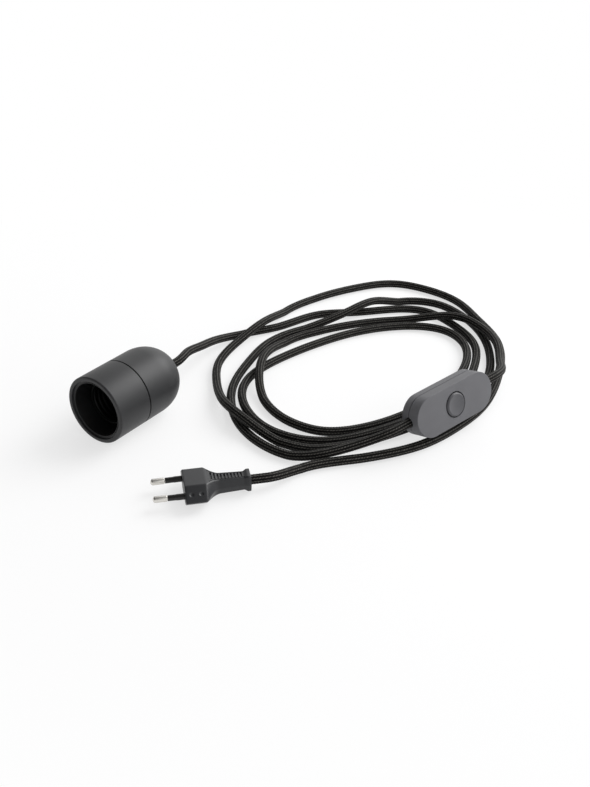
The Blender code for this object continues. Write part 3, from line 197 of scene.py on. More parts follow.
CARRIER_CORNER = 0.4 * MM  # between its wall and its floor
CARRIER_HOLE = (1.8 * MM, 6.0 * MM)  # for a terminal screw: radius, length
CARRIER_HOLE_PLACE = (7.5 * MM, 4.5 * MM)  # from the axis and from its back

# Switch
SWITCH_LENGTH = 70.0 * MM
SWITCH_WIDTH = 27.6 * MM
SWITCH_TOP = 7.2 * MM
SWITCH_SEAM = -1.3 * MM
SWITCH_WALL = 2.0 * MM
SWITCH_FILLET = 0.4 * MM
FILLET_STEPS = 6
SWITCH_CHAMFER = (0.2 * MM, 0.7 * MM)  # along and into the seam between cover and base
SWITCH_HOLE_INSIDE = 6.0 * MM  # reach of a cord hole's cutter
BOSS_PLACE = (20.0 * MM, 8.4 * MM)
BOSS_RADIUS = 2.7 * MM
BOSS_OVERLAP = 0.5 * MM  # how far a boss reaches into the wall
SCREW_HOLE = 1.5 * MM
SCREW_HOLE_DEPTH = 4.3 * MM
SCREW_STEPS = 20
SCREW_WELL = 2.5 * MM
SCREW_WELL_DEPTH = 1.6 * MM
BUTTON_RADIUS = 8.0 * MM
BUTTON_OPENING = (8.6 * MM, 4.0 * MM)  # radius, and depth of its cutter
BUTTON_FLARE = (8.9 * MM, 0.7 * MM)  # the opening's radius at the face, and the flare's depth
BUTTON_PROUD = 1.0 * MM
BUTTON_DISH = (6.8 * MM, 1.1 * MM)  # radius and depth of the dish in its top
BUTTON_DISH_STEPS = 12
BUTTON_RIM = (7.2 * MM, 0.02 * MM)  # radius, and height over the dish's edge
BUTTON_BEVEL = 0.95 * MM  # how far the bevel falls from the rim to the side
BUTTON_EDGE = 0.12 * MM  # rounding of the bevel's edges
BUTTON_FLANGE = (1.2 * MM, 1.0 * MM)  # how far the flange stands out, and its thickness
STEM_RADIUS = 2.0 * MM
STEM_END = -0.4 * MM
SPRING_SEAT = -2.6 * MM
SPRING_WIRE = 0.3 * MM
SPRING_TURNS = 4
SPRING_POINTS_PER_TURN = 24
SPRING_SIDES = 10

# Plug
CORNER_STEPS, FLAT_STEPS, SIDE_STEPS = 6, 36, 3
RIB_STEP = 0.14 * MM
PLUG_WIDTH = 35.3 * MM
PLUG_TOP_FLAT = 18.0 * MM
PLUG_HEAD = 13.0 * MM
PLUG_SHOULDER = 21.5 * MM
PLUG_LENGTH = 40.5 * MM
PLUG_CORNER = 0.9 * MM
PLUG_FACE_EDGE = 0.6 * MM
PLUG_FACE_STEPS = 5
PLUG_FACE_PULL = 0.4  # the top flat's share of the ends' rounding
PLUG_HEAD_STEPS = 10
PLUG_FINE_LEAD = 1.2 * MM  # how far before the shoulder sections grow dense
PLUG_CREASE = 0.05  # softens the crease between head and shoulder
SHOULDER_POWER = 0.95  # hollows the shoulder
PLUG_FLARE = (36.0 * MM, 2.9 * MM)  # where the end flares, and over what length
CORNER_REACH = (0.4, 0.25 * MM)  # a corner's share of the slope's width, and what is added
FLAT_NEARNESS = 0.01 * MM  # anything nearer to the flats' level lies on them
NECK_FLAT = 0.74  # the top flat's share of the neck's width
PLUG_NECK = (11.4 * MM, 10.0 * MM)
PLUG_NECK_END = (9.6 * MM, 8.8 * MM)
PLUG_FLANGE = (12.4 * MM, 11.0 * MM)
RIBS = 10
RIB_START = 16.7 * MM  # middle of the first groove
RIB_PITCH = 2.03 * MM
RIB_GROOVE = 0.52 * MM  # half of a groove's width
RIB_DEPTH = 0.9 * MM
RIB_REACH = 0.66  # a groove's share of the flat's half width
RIB_FADE = (0.25 * MM, 0.4 * MM)  # how softly a groove ends along and across the plug
PANEL_LINE = 0.3 * MM  # half the width of the fine line beside the ribs
PANEL_LINE_DEPTH = 0.6 * MM
PANEL_LINE_FADE = 0.2 * MM
PANEL = (14.2 * MM, 37.2 * MM)  # where the fine line begins and ends
PANEL_FADE = (1.5 * MM, 0.6 * MM)  # how softly it begins and ends
PLUG_POCKET = (11.0 * MM, 12.3 * MM, 3.3 * MM)
PLUG_BORE_DEPTH = 9.3 * MM  # of the cord's bore in the neck
PLUG_CHANNEL = (2.9 * MM, 1.45 * MM)  # half width and half height of the cores' channel
CHANNEL_OVERLAP = 0.8 * MM  # how far the channel reaches into that bore
DIMPLE_PLACES = (3.8 * MM, 9.6 * MM)  # distances of the dimples from the plug's face
DIMPLE_RADIUS = 2.6 * MM
DIMPLE_DEPTH = 0.5 * MM
BRIDGE_PLATE = (6.0 * MM, 12.0 * MM, 3.0 * MM)
BRIDGE_EDGE = 0.25 * MM
BRIDGE_HOLE = 2.2 * MM
PIN_LENGTH = 19.0 * MM  # outside the plug
PIN_BARE = 8.5 * MM
PIN_RADIUS = 2.0 * MM
PIN_CORE = 1.45 * MM  # radius of the pin inside its sleeve
PIN_DOME = 1.5 * MM  # height of the domed tip
PIN_DOME_STEPS = 10
PIN_SHOULDER = 0.25 * MM  # rounding where the bare part ends
PIN_TIP_SIDE = 9.0 * MM  # the tip's distance from the plug's middle
PIN_TILT = atan2(0.3, 19.0)
PIN_END = 27.0 * MM
SLEEVE_END = 22.6 * MM
SLEEVE_BORE = 1.6 * MM
SLEEVE_THIN = 1.78 * MM
SLEEVE_THICK = 1.9 * MM
SLEEVE_SWELL = (5.3 * MM, 4.8 * MM)  # where it thickens, before the plug's face
SLEEVE_LIP = (0.48 * MM, 0.18 * MM)  # place and radius of the rounding at its front

# Solids inside the switch and the plug that stay as the frame has them
SWITCH_INSIDE = ("live_terminal_1", "live_terminal_2", "contact_bridge", "neutral_terminal",
                 "housing_screw_1", "housing_screw_2", "cord_clamp_1", "cord_clamp_2",
                 "live_core_1", "live_core_2", "neutral_core_1", "neutral_core_2")
PLUG_INSIDE = ("plug_live_core", "plug_neutral_core")

# Looks. Scales count the noise's cells in a metre.
MOTTLE_SCALE = 55.0
GRAIN_SCALE = 3200.0
GRAIN_BUMP = (0.35, 0.02 * MM)  # strength and depth
GLOSS_SPREAD = 0.05
STREAK_SCALE = 900.0
FLECK_SCALE = 900.0
FUZZ_SCALE = 2600.0
BRAID_BUMP = (0.8, 0.22 * MM)
# ends of the braid's tone: the yarn's black with painted shade in the gaps, and painted sheen on the
# crests
BRAID_DARK = (0.0010, 0.0009, 0.0008)
BRAID_LIGHT = (0.110, 0.105, 0.096)
BRAID_FINISH = {"Roughness": 0.60, "Specular IOR Level": 0.09, "Sheen Weight": 0.02,
                "Sheen Roughness": 0.4}
PAPER = ((0.90, 0.90, 0.905), (0.92, 0.92, 0.925))
PLASTICS = {  # colour, roughness, specular level and mottling
    "holder_plastic": ((0.0195, 0.0198, 0.0211), 0.46, 0.38, 0.12),
    # near black: the insert's own black, deepened by painted shade of the deep mouth
    "insert_plastic": ((0.0010, 0.0016, 0.0015), 0.40, 0.12, 0.12),
    "switch_plastic": ((0.124, 0.124, 0.132), 0.50, 0.25, 0.05),
    "button_plastic": ((0.086, 0.086, 0.093), 0.40, 0.3, 0.05),
    "plug_plastic": ((0.0155, 0.0160, 0.0180), 0.38, 0.42, 0.15),
    "sleeve_plastic": ((0.0120, 0.0110, 0.0105), 0.30, 0.4, 0.12),
    "core_brown": ((0.120, 0.040, 0.015), 0.45, 0.4, 0.12),
    "core_blue": ((0.020, 0.080, 0.280), 0.45, 0.4, 0.12),
}
METALS = {  # colour and roughness
    "nickel": ((0.72, 0.70, 0.66), 0.18),
    "brass": ((0.62, 0.47, 0.22), 0.30),
    "spring_steel": ((0.45, 0.45, 0.46), 0.30),
    "screw_steel": ((0.50, 0.50, 0.51), 0.32),
}


def smooth_curve(points, samples, leave, arrive):
    """A cubic through the points, over centripetal parameters, along leave and arrive at its ends."""
    p = np.array(points, dtype=float)
    t = np.concatenate([[0.0], np.cumsum(np.linalg.norm(np.diff(p, axis=0), axis=1) ** 0.5)])
    h = np.diff(t)
    n = len(p)
    system = np.eye(n)
    rhs = np.zeros((n, 3))
    for i in range(1, n - 1):
        system[i, i - 1:i + 2] = (h[i - 1], 2 * (h[i - 1] + h[i]), h[i])
        rhs[i] = 6 * ((p[i + 1] - p[i]) / h[i] - (p[i] - p[i - 1]) / h[i - 1])
    first = np.array(leave) * np.linalg.norm(p[1] - p[0]) / h[0]
    last = np.array(arrive) * np.linalg.norm(p[-1] - p[-2]) / h[-1]
    system[0, :2] = (2 * h[0], h[0])
    system[-1, -2:] = (h[-1], 2 * h[-1])
    rhs[0] = 6 * ((p[1] - p[0]) / h[0] - first)
    rhs[-1] = 6 * (last - (p[-1] - p[-2]) / h[-1])
    bend = np.linalg.solve(system, rhs)
    s = np.linspace(0, t[-1], samples)
    k = np.clip(np.searchsorted(t, s, side="right") - 1, 0, n - 2)
    a = ((t[k + 1] - s) / h[k])[:, None]
    b = ((s - t[k]) / h[k])[:, None]
    width = (h[k] ** 2 / 6)[:, None]
    return a * p[k] + b * p[k + 1] + ((a ** 3 - a) * bend[k] + (b ** 3 - b) * bend[k + 1]) * width


def even_points(path, spacing):
    along = np.concatenate([[0.0], np.cumsum(np.linalg.norm(np.diff(path, axis=0), axis=1))])
    places = np.linspace(0, along[-1], int(round(along[-1] / spacing)) + 1)
    return np.stack([np.interp(places, along, path[:, i]) for i in range(3)], axis=1)


def cord_end(frame, inner, outer):
    start = np.array(frame @ Vector(inner))
    stub = np.array(frame @ Vector(outer))
    return start, stub, (stub - start) / np.linalg.norm(stub - start)


def cord_route(first, route, last):
    """The cord's centreline: straight stubs at both ends and a smooth curve between them."""
    start, start_stub, leave = first
    end, end_stub, back = last
    middle = [tuple(value * MM for value in (*point, FLOOR)[:3]) for point in route]
    path = smooth_curve([start_stub] + middle + [end_stub], CORD_SAMPLES, leave, -back)
    path[:, 2] = np.maximum(path[:, 2], FLOOR * MM)
    return even_points(np.vstack([[start], path, [end]]), CORD_RING_STEP)


def frames_along(path):
    """Two unit vectors across the path at each point, turned as little as possible."""
    run = np.gradient(path, axis=0)
    run /= np.linalg.norm(run, axis=1)[:, None]
    side = np.zeros_like(run)
    across = np.cross(run[0], (0, 0, 1))
    side[0] = across / np.linalg.norm(across)
    for i in range(1, len(path)):
        step = side[i - 1] - run[i] * np.dot(side[i - 1], run[i])
        side[i] = step / np.linalg.norm(step)
    return side, np.cross(side, run)


def braided_tube(name, path):
    """A tube with the relief of a herringbone braid: columns of slanting stitches."""
    side, up = frames_along(path)
    rings, count = len(path), CORD_SIDES
    turn = 2 * pi * np.arange(count) / count
    column = np.arange(count) // SIDES_PER_COLUMN
    across = np.arange(count) % SIDES_PER_COLUMN / SIDES_PER_COLUMN
    slant = np.where(column % 2 == 0, 1.0, -1.0)
    ridge = np.where(across == 0, 0.0, 1.0)
    along = np.arange(rings)[:, None] * CORD_RING_STEP / STITCH_LENGTH
    phase = along + slant * (across - 0.5) * STITCH_SLOPE * 2 + column * 0.5
    stitch = 0.5 + 0.5 * np.cos(2 * pi * phase)
    crest = CORD_DIAMETER / 2 + BRAID_CREST
    radius = crest - BRAID_RELIEF + BRAID_RELIEF * (1 - STITCH_DIP + STITCH_DIP * stitch) * ridge
    ring = np.cos(turn)[None, :, None] * side[:, None] + np.sin(turn)[None, :, None] * up[:, None]
    verts = (path[:, None] + ring * radius[:, :, None]).reshape(-1, 3)
    mesh = bpy.data.meshes.new(name)
    mesh.from_pydata(verts.tolist(), [], band_faces(rings, count) + end_faces(rings, count))
    left = np.tile(np.arange(count) / count, rings - 1)
    right = np.tile(np.arange(1, count + 1) / count, rings - 1)
    near = np.repeat(np.arange(rings - 1), count) * CORD_RING_STEP / STITCH_LENGTH
    far = near + CORD_RING_STEP / STITCH_LENGTH
    corners = np.stack([left, near, right, near, right, far, left, far], axis=-1).reshape(-1)
    places = np.zeros(len(mesh.loops) * 2)
    places[:len(corners)] = corners
    mesh.uv_layers.new(name="braid").data.foreach_set("uv", places.tolist())
    mesh.shade_smooth()
    return show(name, mesh)


def show(name, data, place=None):
    """Adds an object to the scene, and moves its mesh to the place."""
    obj = bpy.data.objects.new(name, data)
    bpy.context.scene.collection.objects.link(obj)
    if place is not None:
        data.transform(place)
    return obj


def shade(mesh, angle=35):
    mesh.shade_smooth()
    mesh.set_sharp_from_angle(angle=radians(angle))


def band_faces(rings, count, closed=False):
    """Quads between neighbouring rings of count points, and back to the first ring if closed."""
    faces = []
    for ring in range(rings if closed else rings - 1):
        low, high = ring * count, (ring + 1) % rings * count
        for i in range(count):
            j = (i + 1) % count
            faces.append((low + i, low + j, high + j, high + i))
    return faces


def end_faces(rings, count):
    """The two flat ends of a tube of such rings."""
    return [tuple(reversed(range(count))), tuple(range((rings - 1) * count, rings * count))]


def mesh_from(name, verts, faces):
    """A mesh without doubled points whose faces look outwards."""
    mesh = bpy.data.meshes.new(name)
    mesh.from_pydata([tuple(v) for v in verts], [], faces)
    bm = bmesh.new()
    bm.from_mesh(mesh)
    bmesh.ops.remove_doubles(bm, verts=bm.verts, dist=MERGE_DISTANCE)
    bmesh.ops.recalc_face_normals(bm, faces=bm.faces)
    bm.to_mesh(mesh)
    bm.free()
    return mesh


def turned(name, profile, steps=TURN_STEPS):
    """Turns a profile of (radius, height) round Z. It is closed unless both ends are on the axis."""
    closed = profile[0][0] > ON_AXIS or profile[-1][0] > ON_AXIS
    verts = []
    for r, z in profile:
        for k in range(steps):
            a = 2 * pi * k / steps
            verts.append((r * cos(a), r * sin(a), z))
    mesh = mesh_from(name, verts, band_faces(len(profile), steps, closed))
    shade(mesh)
    return mesh


def quarter_turn(steps):
    return [pi / 2 * i / steps for i in range(steps + 1)]


def arc(r, z, radius, start, end, count=6):
    """Points of (radius, height) along an arc, angles in degrees from +r towards +z."""
    turn = [radians(start + (end - start) * i / count) for i in range(count + 1)]
    return [(r + radius * cos(a), z + radius * sin(a)) for a in turn]


def stadium_solid(name, rings):
    """A solid through the switch's outline, given as (inset, height) from bottom to top."""
    reach = (SWITCH_LENGTH - SWITCH_WIDTH) / 2
    turns = [-pi / 2 + pi * i / STADIUM_STEPS for i in range(STADIUM_STEPS + 1)]
    verts = []
    for inset, z in rings:
        r = SWITCH_WIDTH / 2 - inset
        for side in (1, -1):
            verts += [(side * (reach + r * cos(a)), side * r * sin(a), z) for a in turns]
    count = 2 * len(turns)
    return mesh_from(name, verts, end_faces(len(rings), count) + band_faces(len(rings), count))


def apply_modifiers(obj):
    bpy.context.view_layer.update()
    seen = obj.evaluated_get(bpy.context.evaluated_depsgraph_get())
    result = bpy.data.meshes.new_from_object(seen)
    obj.modifiers.clear()
    obj.data = result


def cut(obj, cutters, operation="DIFFERENCE"):
    """Cuts or joins meshes, each given with its place, and keeps the result as plain mesh."""
    for mesh, place in cutters:
        tool = show("cutter", mesh)
        tool.matrix_world = place
        step = obj.modifiers.new("cut", "BOOLEAN")
        step.operation = operation
        step.object = tool
        step.solver = "EXACT"
        apply_modifiers(obj)
        bpy.data.objects.remove(tool)


def mesh_of(bm, name):
    mesh = bpy.data.meshes.new(name)
    bm.to_mesh(mesh)
    bm.free()
    return mesh


def rod(radius, low, high, steps=48, end_radius=None):
    """A round cutter along Z, or a tapered one."""
    bm = bmesh.new()
    bmesh.ops.create_cone(bm, cap_ends=True, segments=steps, radius1=radius,
                          radius2=end_radius or radius, depth=high - low)
    bmesh.ops.translate(bm, vec=(0, 0, (low + high) / 2), verts=bm.verts)
    return mesh_of(bm, "rod")


def block(low, high):
    bm = bmesh.new()
    bmesh.ops.create_cube(bm, size=1.0)
    bmesh.ops.scale(bm, vec=Vector(high) - Vector(low), verts=bm.verts)
    bmesh.ops.translate(bm, vec=(Vector(high) + Vector(low)) / 2, verts=bm.verts)
    return mesh_of(bm, "block")


def ball(radius):
    bm = bmesh.new()
    bmesh.ops.create_uvsphere(bm, u_segments=48, v_segments=32, radius=radius)
    return mesh_of(bm, "ball")


# Materials

def new_material(name):
    mat = bpy.data.materials.new(name)
    mat.use_nodes = True
    tree = mat.node_tree
    return mat, tree.nodes, tree.links, tree.nodes["Principled BSDF"]


def object_noise(shader, scale, detail=4.0):
    tree = shader.id_data
    place = tree.nodes.new("ShaderNodeTexCoord")
    noise = tree.nodes.new("ShaderNodeTexNoise")
    noise.inputs["Scale"].default_value = scale
    noise.inputs["Detail"].default_value = detail
    tree.links.new(place.outputs["Object"], noise.inputs["Vector"])
    return noise.outputs["Fac"]


def ramp(source, low, high, start=0.3, end=0.7):
    """Turns a 0 to 1 value into a colour or grey between low and high."""
    tree = source.id_data
    node = tree.nodes.new("ShaderNodeValToRGB")
    node.color_ramp.elements[0].position = start
    node.color_ramp.elements[1].position = end
    node.color_ramp.elements[0].color = (*low, 1.0)
    node.color_ramp.elements[1].color = (*high, 1.0)
    tree.links.new(source, node.inputs["Fac"])
    return node.outputs["Color"]


def grey(value):
    return (value, value, value)


def add_bump(shader, height, strength, depth):
    tree = shader.id_data
    bump = tree.nodes.new("ShaderNodeBump")
    bump.inputs["Strength"].default_value = strength
    bump.inputs["Distance"].default_value = depth
    tree.links.new(height, bump.inputs["Height"])
    tree.links.new(bump.outputs["Normal"], shader.inputs["Normal"])


def moulded_plastic(name, colour, roughness, specular, mottle):
    """Moulded plastic: a fine eroded grain, slight mottling and uneven gloss."""
    mat, _, links, shader = new_material(name)
    broad = object_noise(shader, MOTTLE_SCALE)
    dark = tuple(c * (1 - mottle) for c in colour)
    light = tuple(c * (1 + mottle) for c in colour)
    links.new(ramp(broad, dark, light), shader.inputs["Base Color"])
    shader.inputs["Specular IOR Level"].default_value = specular
    fine = object_noise(shader, GRAIN_SCALE, 2.0)
    glossy, dull = grey(roughness - GLOSS_SPREAD), grey(roughness + GLOSS_SPREAD)
    links.new(ramp(fine, glossy, dull), shader.inputs["Roughness"])
    add_bump(shader, fine, *GRAIN_BUMP)
    return mat


def paint_bore_shade(mat):
    """Paints shade into the colour inside the holder's mouth: darker by position within the bore."""
    nodes, links = mat.node_tree.nodes, mat.node_tree.links
    colour = nodes["Principled BSDF"].inputs["Base Color"]
    outside = colour.links[0].from_socket
    place = nodes.new("ShaderNodeTexCoord")
    parts = nodes.new("ShaderNodeSeparateXYZ")
    links.new(place.outputs["Object"], parts.inputs["Vector"])
    height = math_node("SUBTRACT", parts.outputs["Z"], HOLDER_RADIUS)
    square = math_node("MULTIPLY", height, height)
    across = math_node("MULTIPLY_ADD", parts.outputs["X"], parts.outputs["X"], square)
    radius = math_node("SQRT", across)
    # painted shade: darker inside the bore near the mouth, fading out at the bead and further in
    wide = fade(radius, BORE_SHADE_EDGE, (BORE_SHADE, 1.0))
    deep = fade(parts.outputs["Y"], BORE_SHADE_END, (BORE_SHADE, 1.0))
    scale = nodes.new("ShaderNodeVectorMath")
    scale.operation = "SCALE"
    links.new(outside, scale.inputs[0])
    links.new(math_node("MAXIMUM", wide, deep), scale.inputs["Scale"])
    links.new(scale.outputs["Vector"], colour)


def polished_metal(name, colour, roughness):
    """Plated or drawn metal with faint streaks."""
    mat, _, links, shader = new_material(name)
    shader.inputs["Metallic"].default_value = 1.0
    noise = object_noise(shader, STREAK_SCALE, 3.0)
    dark = tuple(c * 0.9 for c in colour)
    links.new(ramp(noise, dark, colour), shader.inputs["Base Color"])
    glossy, dull = grey(roughness * 0.8), grey(roughness * 1.3)
    links.new(ramp(noise, glossy, dull), shader.inputs["Roughness"])
    return mat


def math_node(operation, *values):
    """Works on up to three values, each a number or another node's output."""
    tree = next(value.id_data for value in values if not isinstance(value, (int, float)))
    node = tree.nodes.new("ShaderNodeMath")
    node.operation = operation
    for slot, value in enumerate(values):
        if isinstance(value, (int, float)):
            node.inputs[slot].default_value = value
        else:
            tree.links.new(value, node.inputs[slot])
    return node.outputs[0]


def fade(source, reach, values):
    """Runs smoothly from the first value to the second over a stretch of the source."""
    tree = source.id_data
    node = tree.nodes.new("ShaderNodeMapRange")
    node.interpolation_type = "SMOOTHSTEP"
    node.inputs["From Min"].default_value, node.inputs["From Max"].default_value = reach
    node.inputs["To Min"].default_value, node.inputs["To Max"].default_value = values
    tree.links.new(source, node.inputs["Value"])
    return node.outputs["Result"]


def braided_textile(name):
    """Black braid: slanting stitches in columns, fine yarns, light flecks, crests painted with sheen
    and gaps with shade.
    """
    mat, nodes, links, shader = new_material(name)
    uv = nodes.new("ShaderNodeUVMap")
    uv.uv_map = "braid"
    parts = nodes.new("ShaderNodeSeparateXYZ")
    links.new(uv.outputs["UV"], parts.inputs["Vector"])

    m = math_node
    columns = m("MULTIPLY", parts.outputs["X"], float(CORD_COLUMNS))
    across = m("FRACT", columns)
    index = m("FLOOR", columns)
    odd = m("MODULO", index, 2.0)
    slant = m("SUBTRACT", 1.0, m("MULTIPLY", odd, 2.0))
    offset = m("MULTIPLY", m("MULTIPLY", m("SUBTRACT", across, 0.5), 2 * STITCH_SLOPE), slant)
    phase = m("ADD", m("ADD", parts.outputs["Y"], offset), m("MULTIPLY", index, 0.5))
    stitch = m("MULTIPLY_ADD", m("COSINE", m("MULTIPLY", phase, 2 * pi)), 0.5, 0.5)
    ridge = m("SINE", m("MULTIPLY", across, pi))
    yarn_phase = m("MULTIPLY", phase, 2 * pi * YARNS_PER_STITCH)
    yarns = m("MULTIPLY_ADD", m("COSINE", yarn_phase), 0.5, 0.5)
    bulge = m("POWER", m("MAXIMUM", ridge, 0.0), 0.5)
    height = m("MULTIPLY", bulge, m("MULTIPLY_ADD", stitch, 0.8, 0.2))
    detail = m("MULTIPLY_ADD", yarns, 0.18, height)
    fuzz = object_noise(shader, FUZZ_SCALE, 3.0)
    relief = m("MULTIPLY_ADD", fuzz, 0.35, detail)
    # painted sheen on each column's crest and painted shade between the columns, varied at random by
    # the flecks
    crest_sheen = m("POWER", m("MAXIMUM", ridge, 0.0), 4.0)
    fleck = object_noise(shader, FLECK_SCALE, 3.0)
    flecks = m("MULTIPLY_ADD", fleck, 2.2, -0.3)
    bright = m("MULTIPLY", m("MULTIPLY_ADD", stitch, 0.65, 0.35), flecks)
    tone = m("MULTIPLY", crest_sheen, bright)
    colour = ramp(tone, BRAID_DARK, BRAID_LIGHT, 0.08, 0.85)
    links.new(colour, shader.inputs["Base Color"])
    for socket, value in BRAID_FINISH.items():
        shader.inputs[socket].default_value = value
    add_bump(shader, relief, *BRAID_BUMP)
    return mat


def make_materials():
    made = {name: moulded_plastic(name, *look) for name, look in PLASTICS.items()}
    # painted shade inside the holder's bore
    paint_bore_shade(made["holder_plastic"])
    made.update({name: polished_metal(name, *look) for name, look in METALS.items()})
    made["cord_fabric"] = braided_textile("cord_fabric")
    return made


def dress(obj, slot, body=BODY, replaces=()):
    """Gives a piece its material, its body and the nodes that it stands for."""
    obj.data.materials.clear()
    obj.data.materials.append(MATERIALS[slot])
    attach(obj, body)
    if replaces:
        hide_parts(*replaces)
    return obj


def turned_piece(name, profile, place, slot, node, steps=TURN_STEPS, body=BODY):
    """A turned piece at its place that stands for one node."""
    return dress(show(name, turned(name, profile, steps), place), slot, body, [node])


def finish_cut(obj, place, angle, slot, node):
    """Moves a cut piece to its place and lets it stand for one node."""
    obj.data.transform(place)
    shade(obj.data, angle)
    return dress(obj, slot, replaces=[node])


# Holder

def dome_radius(height):
    """The dome's outer radius at a distance from the mouth."""
    curved = HOLDER_LENGTH - DOME_START - DOME_STRAIGHT
    share = max(0.0, min(1.0, (height - DOME_START - DOME_STRAIGHT) / curved))
    return HOLDER_RADIUS * (1 - share ** DOME_EXPONENT) ** (1 / DOME_EXPONENT)


def build_skirt():
    """Front shell: rounded rim, a step and a fine bead at the mouth, bore, web and rear socket."""
    r, e = HOLDER_RADIUS, RIM_ROUNDING
    chamfer, deep = SEAM_CHAMFER
    k, b = INNER_RIM_ROUNDING, MOUTH_BEAD
    profile = [(r - deep, SKIRT_LENGTH), (r, SKIRT_LENGTH - chamfer)]
    profile += arc(r - e, e, e, 0, -90, 8)
    profile += arc(REBATE_RADIUS + k, k, k, -90, -180, 4)
    profile += [(REBATE_RADIUS, REBATE_DEPTH)] + arc(MOUTH_BORE + b, REBATE_DEPTH, b, 0, -180, 10)
    web, socket = SLEEVE_OUTER + GAP, SPIGOT_RADIUS + GAP
    profile += [(MOUTH_BORE, WEB_START), (web, WEB_START), (web, WEB_BACK), (socket, WEB_BACK),
                (socket, SKIRT_LENGTH)]
    return turned_piece("holder_skirt_shell", profile, HOLDER, "holder_plastic", "holder_skirt")


def build_dome():
    """Rear shell, hollow: superellipse outline, rounded cord hole and chamfered seam."""
    chamfer, deep = SEAM_CHAMFER
    start = DOME_START + DOME_STRAIGHT
    length = HOLDER_LENGTH - start
    lip, back = DOME_LIP
    profile = arc(CORD_HOLE + lip, HOLDER_LENGTH - lip - back, lip, 180, 95, 5)
    for turn in quarter_turn(DOME_STEPS)[1:]:
        r = HOLDER_RADIUS * sin(turn) ** (2 / DOME_EXPONENT)
        if r > CORD_HOLE + lip + DOME_LIP_CLEAR:
            profile.append((r, start + length * cos(turn) ** (2 / DOME_EXPONENT)))
    profile += [(HOLDER_RADIUS, DOME_START + chamfer), (HOLDER_RADIUS - deep, DOME_START)]
    profile += [(SPIGOT_RADIUS, DOME_START), (SPIGOT_RADIUS, SPIGOT_FRONT), (SPIGOT_BORE, SPIGOT_FRONT),
                (SPIGOT_BORE, CAVITY_START), (CAVITY_RADIUS, CAVITY_START)]
    inner_end = HOLDER_LENGTH - DOME_TIP_THICKNESS
    first, steps = CAVITY_STEPS
    for i in range(first, steps + 1):
        height = CAVITY_START + (inner_end - CAVITY_START) * i / steps
        profile.append((min(CAVITY_RADIUS, dome_radius(height) - DOME_WALL), height))
    profile.append((CORD_HOLE, inner_end))
    return turned_piece("holder_dome_shell", profile, HOLDER, "holder_plastic", "holder_dome")


def build_thread_sleeve():
    """The lamp thread as a true helix inside a rounded sleeve with its flange."""
    e = SLEEVE_ROUNDING
    outer = arc(SLEEVE_OUTER - e, SLEEVE_FRONT + e, e, 0, -90, 4)[::-1]
    outer += [(SLEEVE_OUTER, FLANGE_FRONT), (FLANGE_RADIUS, FLANGE_FRONT), (FLANGE_RADIUS, FLANGE_BACK),
              (SLEEVE_OUTER, FLANGE_BACK), (SLEEVE_OUTER, SLEEVE_BACK)]
    mean = THREAD_CREST + THREAD_DEPTH / 2
    front = SLEEVE_FRONT + THREAD_LIP
    rise, fall = THREAD_ENDS
    verts = []
    for k in range(THREAD_STEPS):
        a = 2 * pi * k / THREAD_STEPS
        column = list(outer)
        for i in range(THREAD_ROWS + 1):
            z = SLEEVE_BACK + (front - SLEEVE_BACK) * i / THREAD_ROWS
            near = max(0.0, min(1.0, (z - SLEEVE_FRONT) / rise, (SLEEVE_BACK - z) / fall))
            wave = cos(2 * pi * z / THREAD_PITCH - a) * THREAD_DEPTH / 2 * near
            column.append((mean + wave + (1 - near) * THREAD_DEPTH / 2, z))
        verts += [(r * cos(a), r * sin(a), z) for r, z in column]
    faces = band_faces(THREAD_STEPS, len(outer) + THREAD_ROWS + 1, closed=True)
    mesh = mesh_from("lamp_thread", verts, faces)
    shade(mesh, 40)
    return dress(show("lamp_thread", mesh, HOLDER), "insert_plastic", replaces=["thread_sleeve"])


def build_carrier():
    """Cup behind the thread, with two holes in its back for the terminal screws."""
    outer, c = FLANGE_RADIUS, CARRIER_ROUNDING
    profile = [(0.0, CARRIER_BACK)] + arc(outer - c, CARRIER_BACK - c, c, 90, 0, 3)
    profile += arc(outer - c, CARRIER_FRONT + c, c, 0, -90, 3)
    profile += arc(CARRIER_INNER + c, CARRIER_FRONT + c, c, -90, -180, 3)
    profile += [(CARRIER_INNER, CARRIER_INSIDE - CARRIER_CORNER),
                (CARRIER_INNER - CARRIER_CORNER, CARRIER_INSIDE), (0.0, CARRIER_INSIDE)]
    obj = show("contact_cup", turned("contact_cup", profile, SMALL_TURN_STEPS))
    radius, length = CARRIER_HOLE
    x, depth = CARRIER_HOLE_PLACE
    for side in (1, -1):
        place = Matrix.Translation((side * x, 0, CARRIER_BACK - depth))
        cut(obj, [(rod(radius, 0.0, length, 24), place)])
    return finish_cut(obj, HOLDER, 35, "insert_plastic", "contact_carrier")


# Switch

def room(low, high):
    """The cutter for the space inside the switch's walls."""
    return [(stadium_solid("room", [(SWITCH_WALL, low), (SWITCH_WALL, high)]), Matrix())]


def switch_cord_holes():
    """Cutters for the cord's holes in both ends of the switch."""
    end = SWITCH_LENGTH / 2
    made = []
    for side in (1, -1):
        place = Matrix.Translation((0, 0, SWITCH_SEAM)) @ Matrix.Rotation(side * pi / 2, 4, "Y")
        made.append((rod(CORD_HOLE, end - SWITCH_HOLE_INSIDE, end + 2 * CUT_PAST), place))
    return made


def at_bosses(low, high, radius, steps=32):
    """Rods at the places of the two screws."""
    x, y = BOSS_PLACE
    return [(rod(radius, low, high, steps), Matrix.Translation((side * x, side * y, 0)))
            for side in (1, -1)]


def shell_rings(edge, seam):
    """Rings (inset, height) of half a switch, bottom first: rounded outer edge, chamfered seam."""
    f = SWITCH_FILLET
    chamfer, deep = SWITCH_CHAMFER
    up = 1 if edge > seam else -1
    rings = [(deep, seam), (0.0, seam + up * chamfer)]
    for turn in quarter_turn(FILLET_STEPS):
        rings.append((f - f * cos(turn), edge - up * f + up * f * sin(turn)))
    return rings[::up]


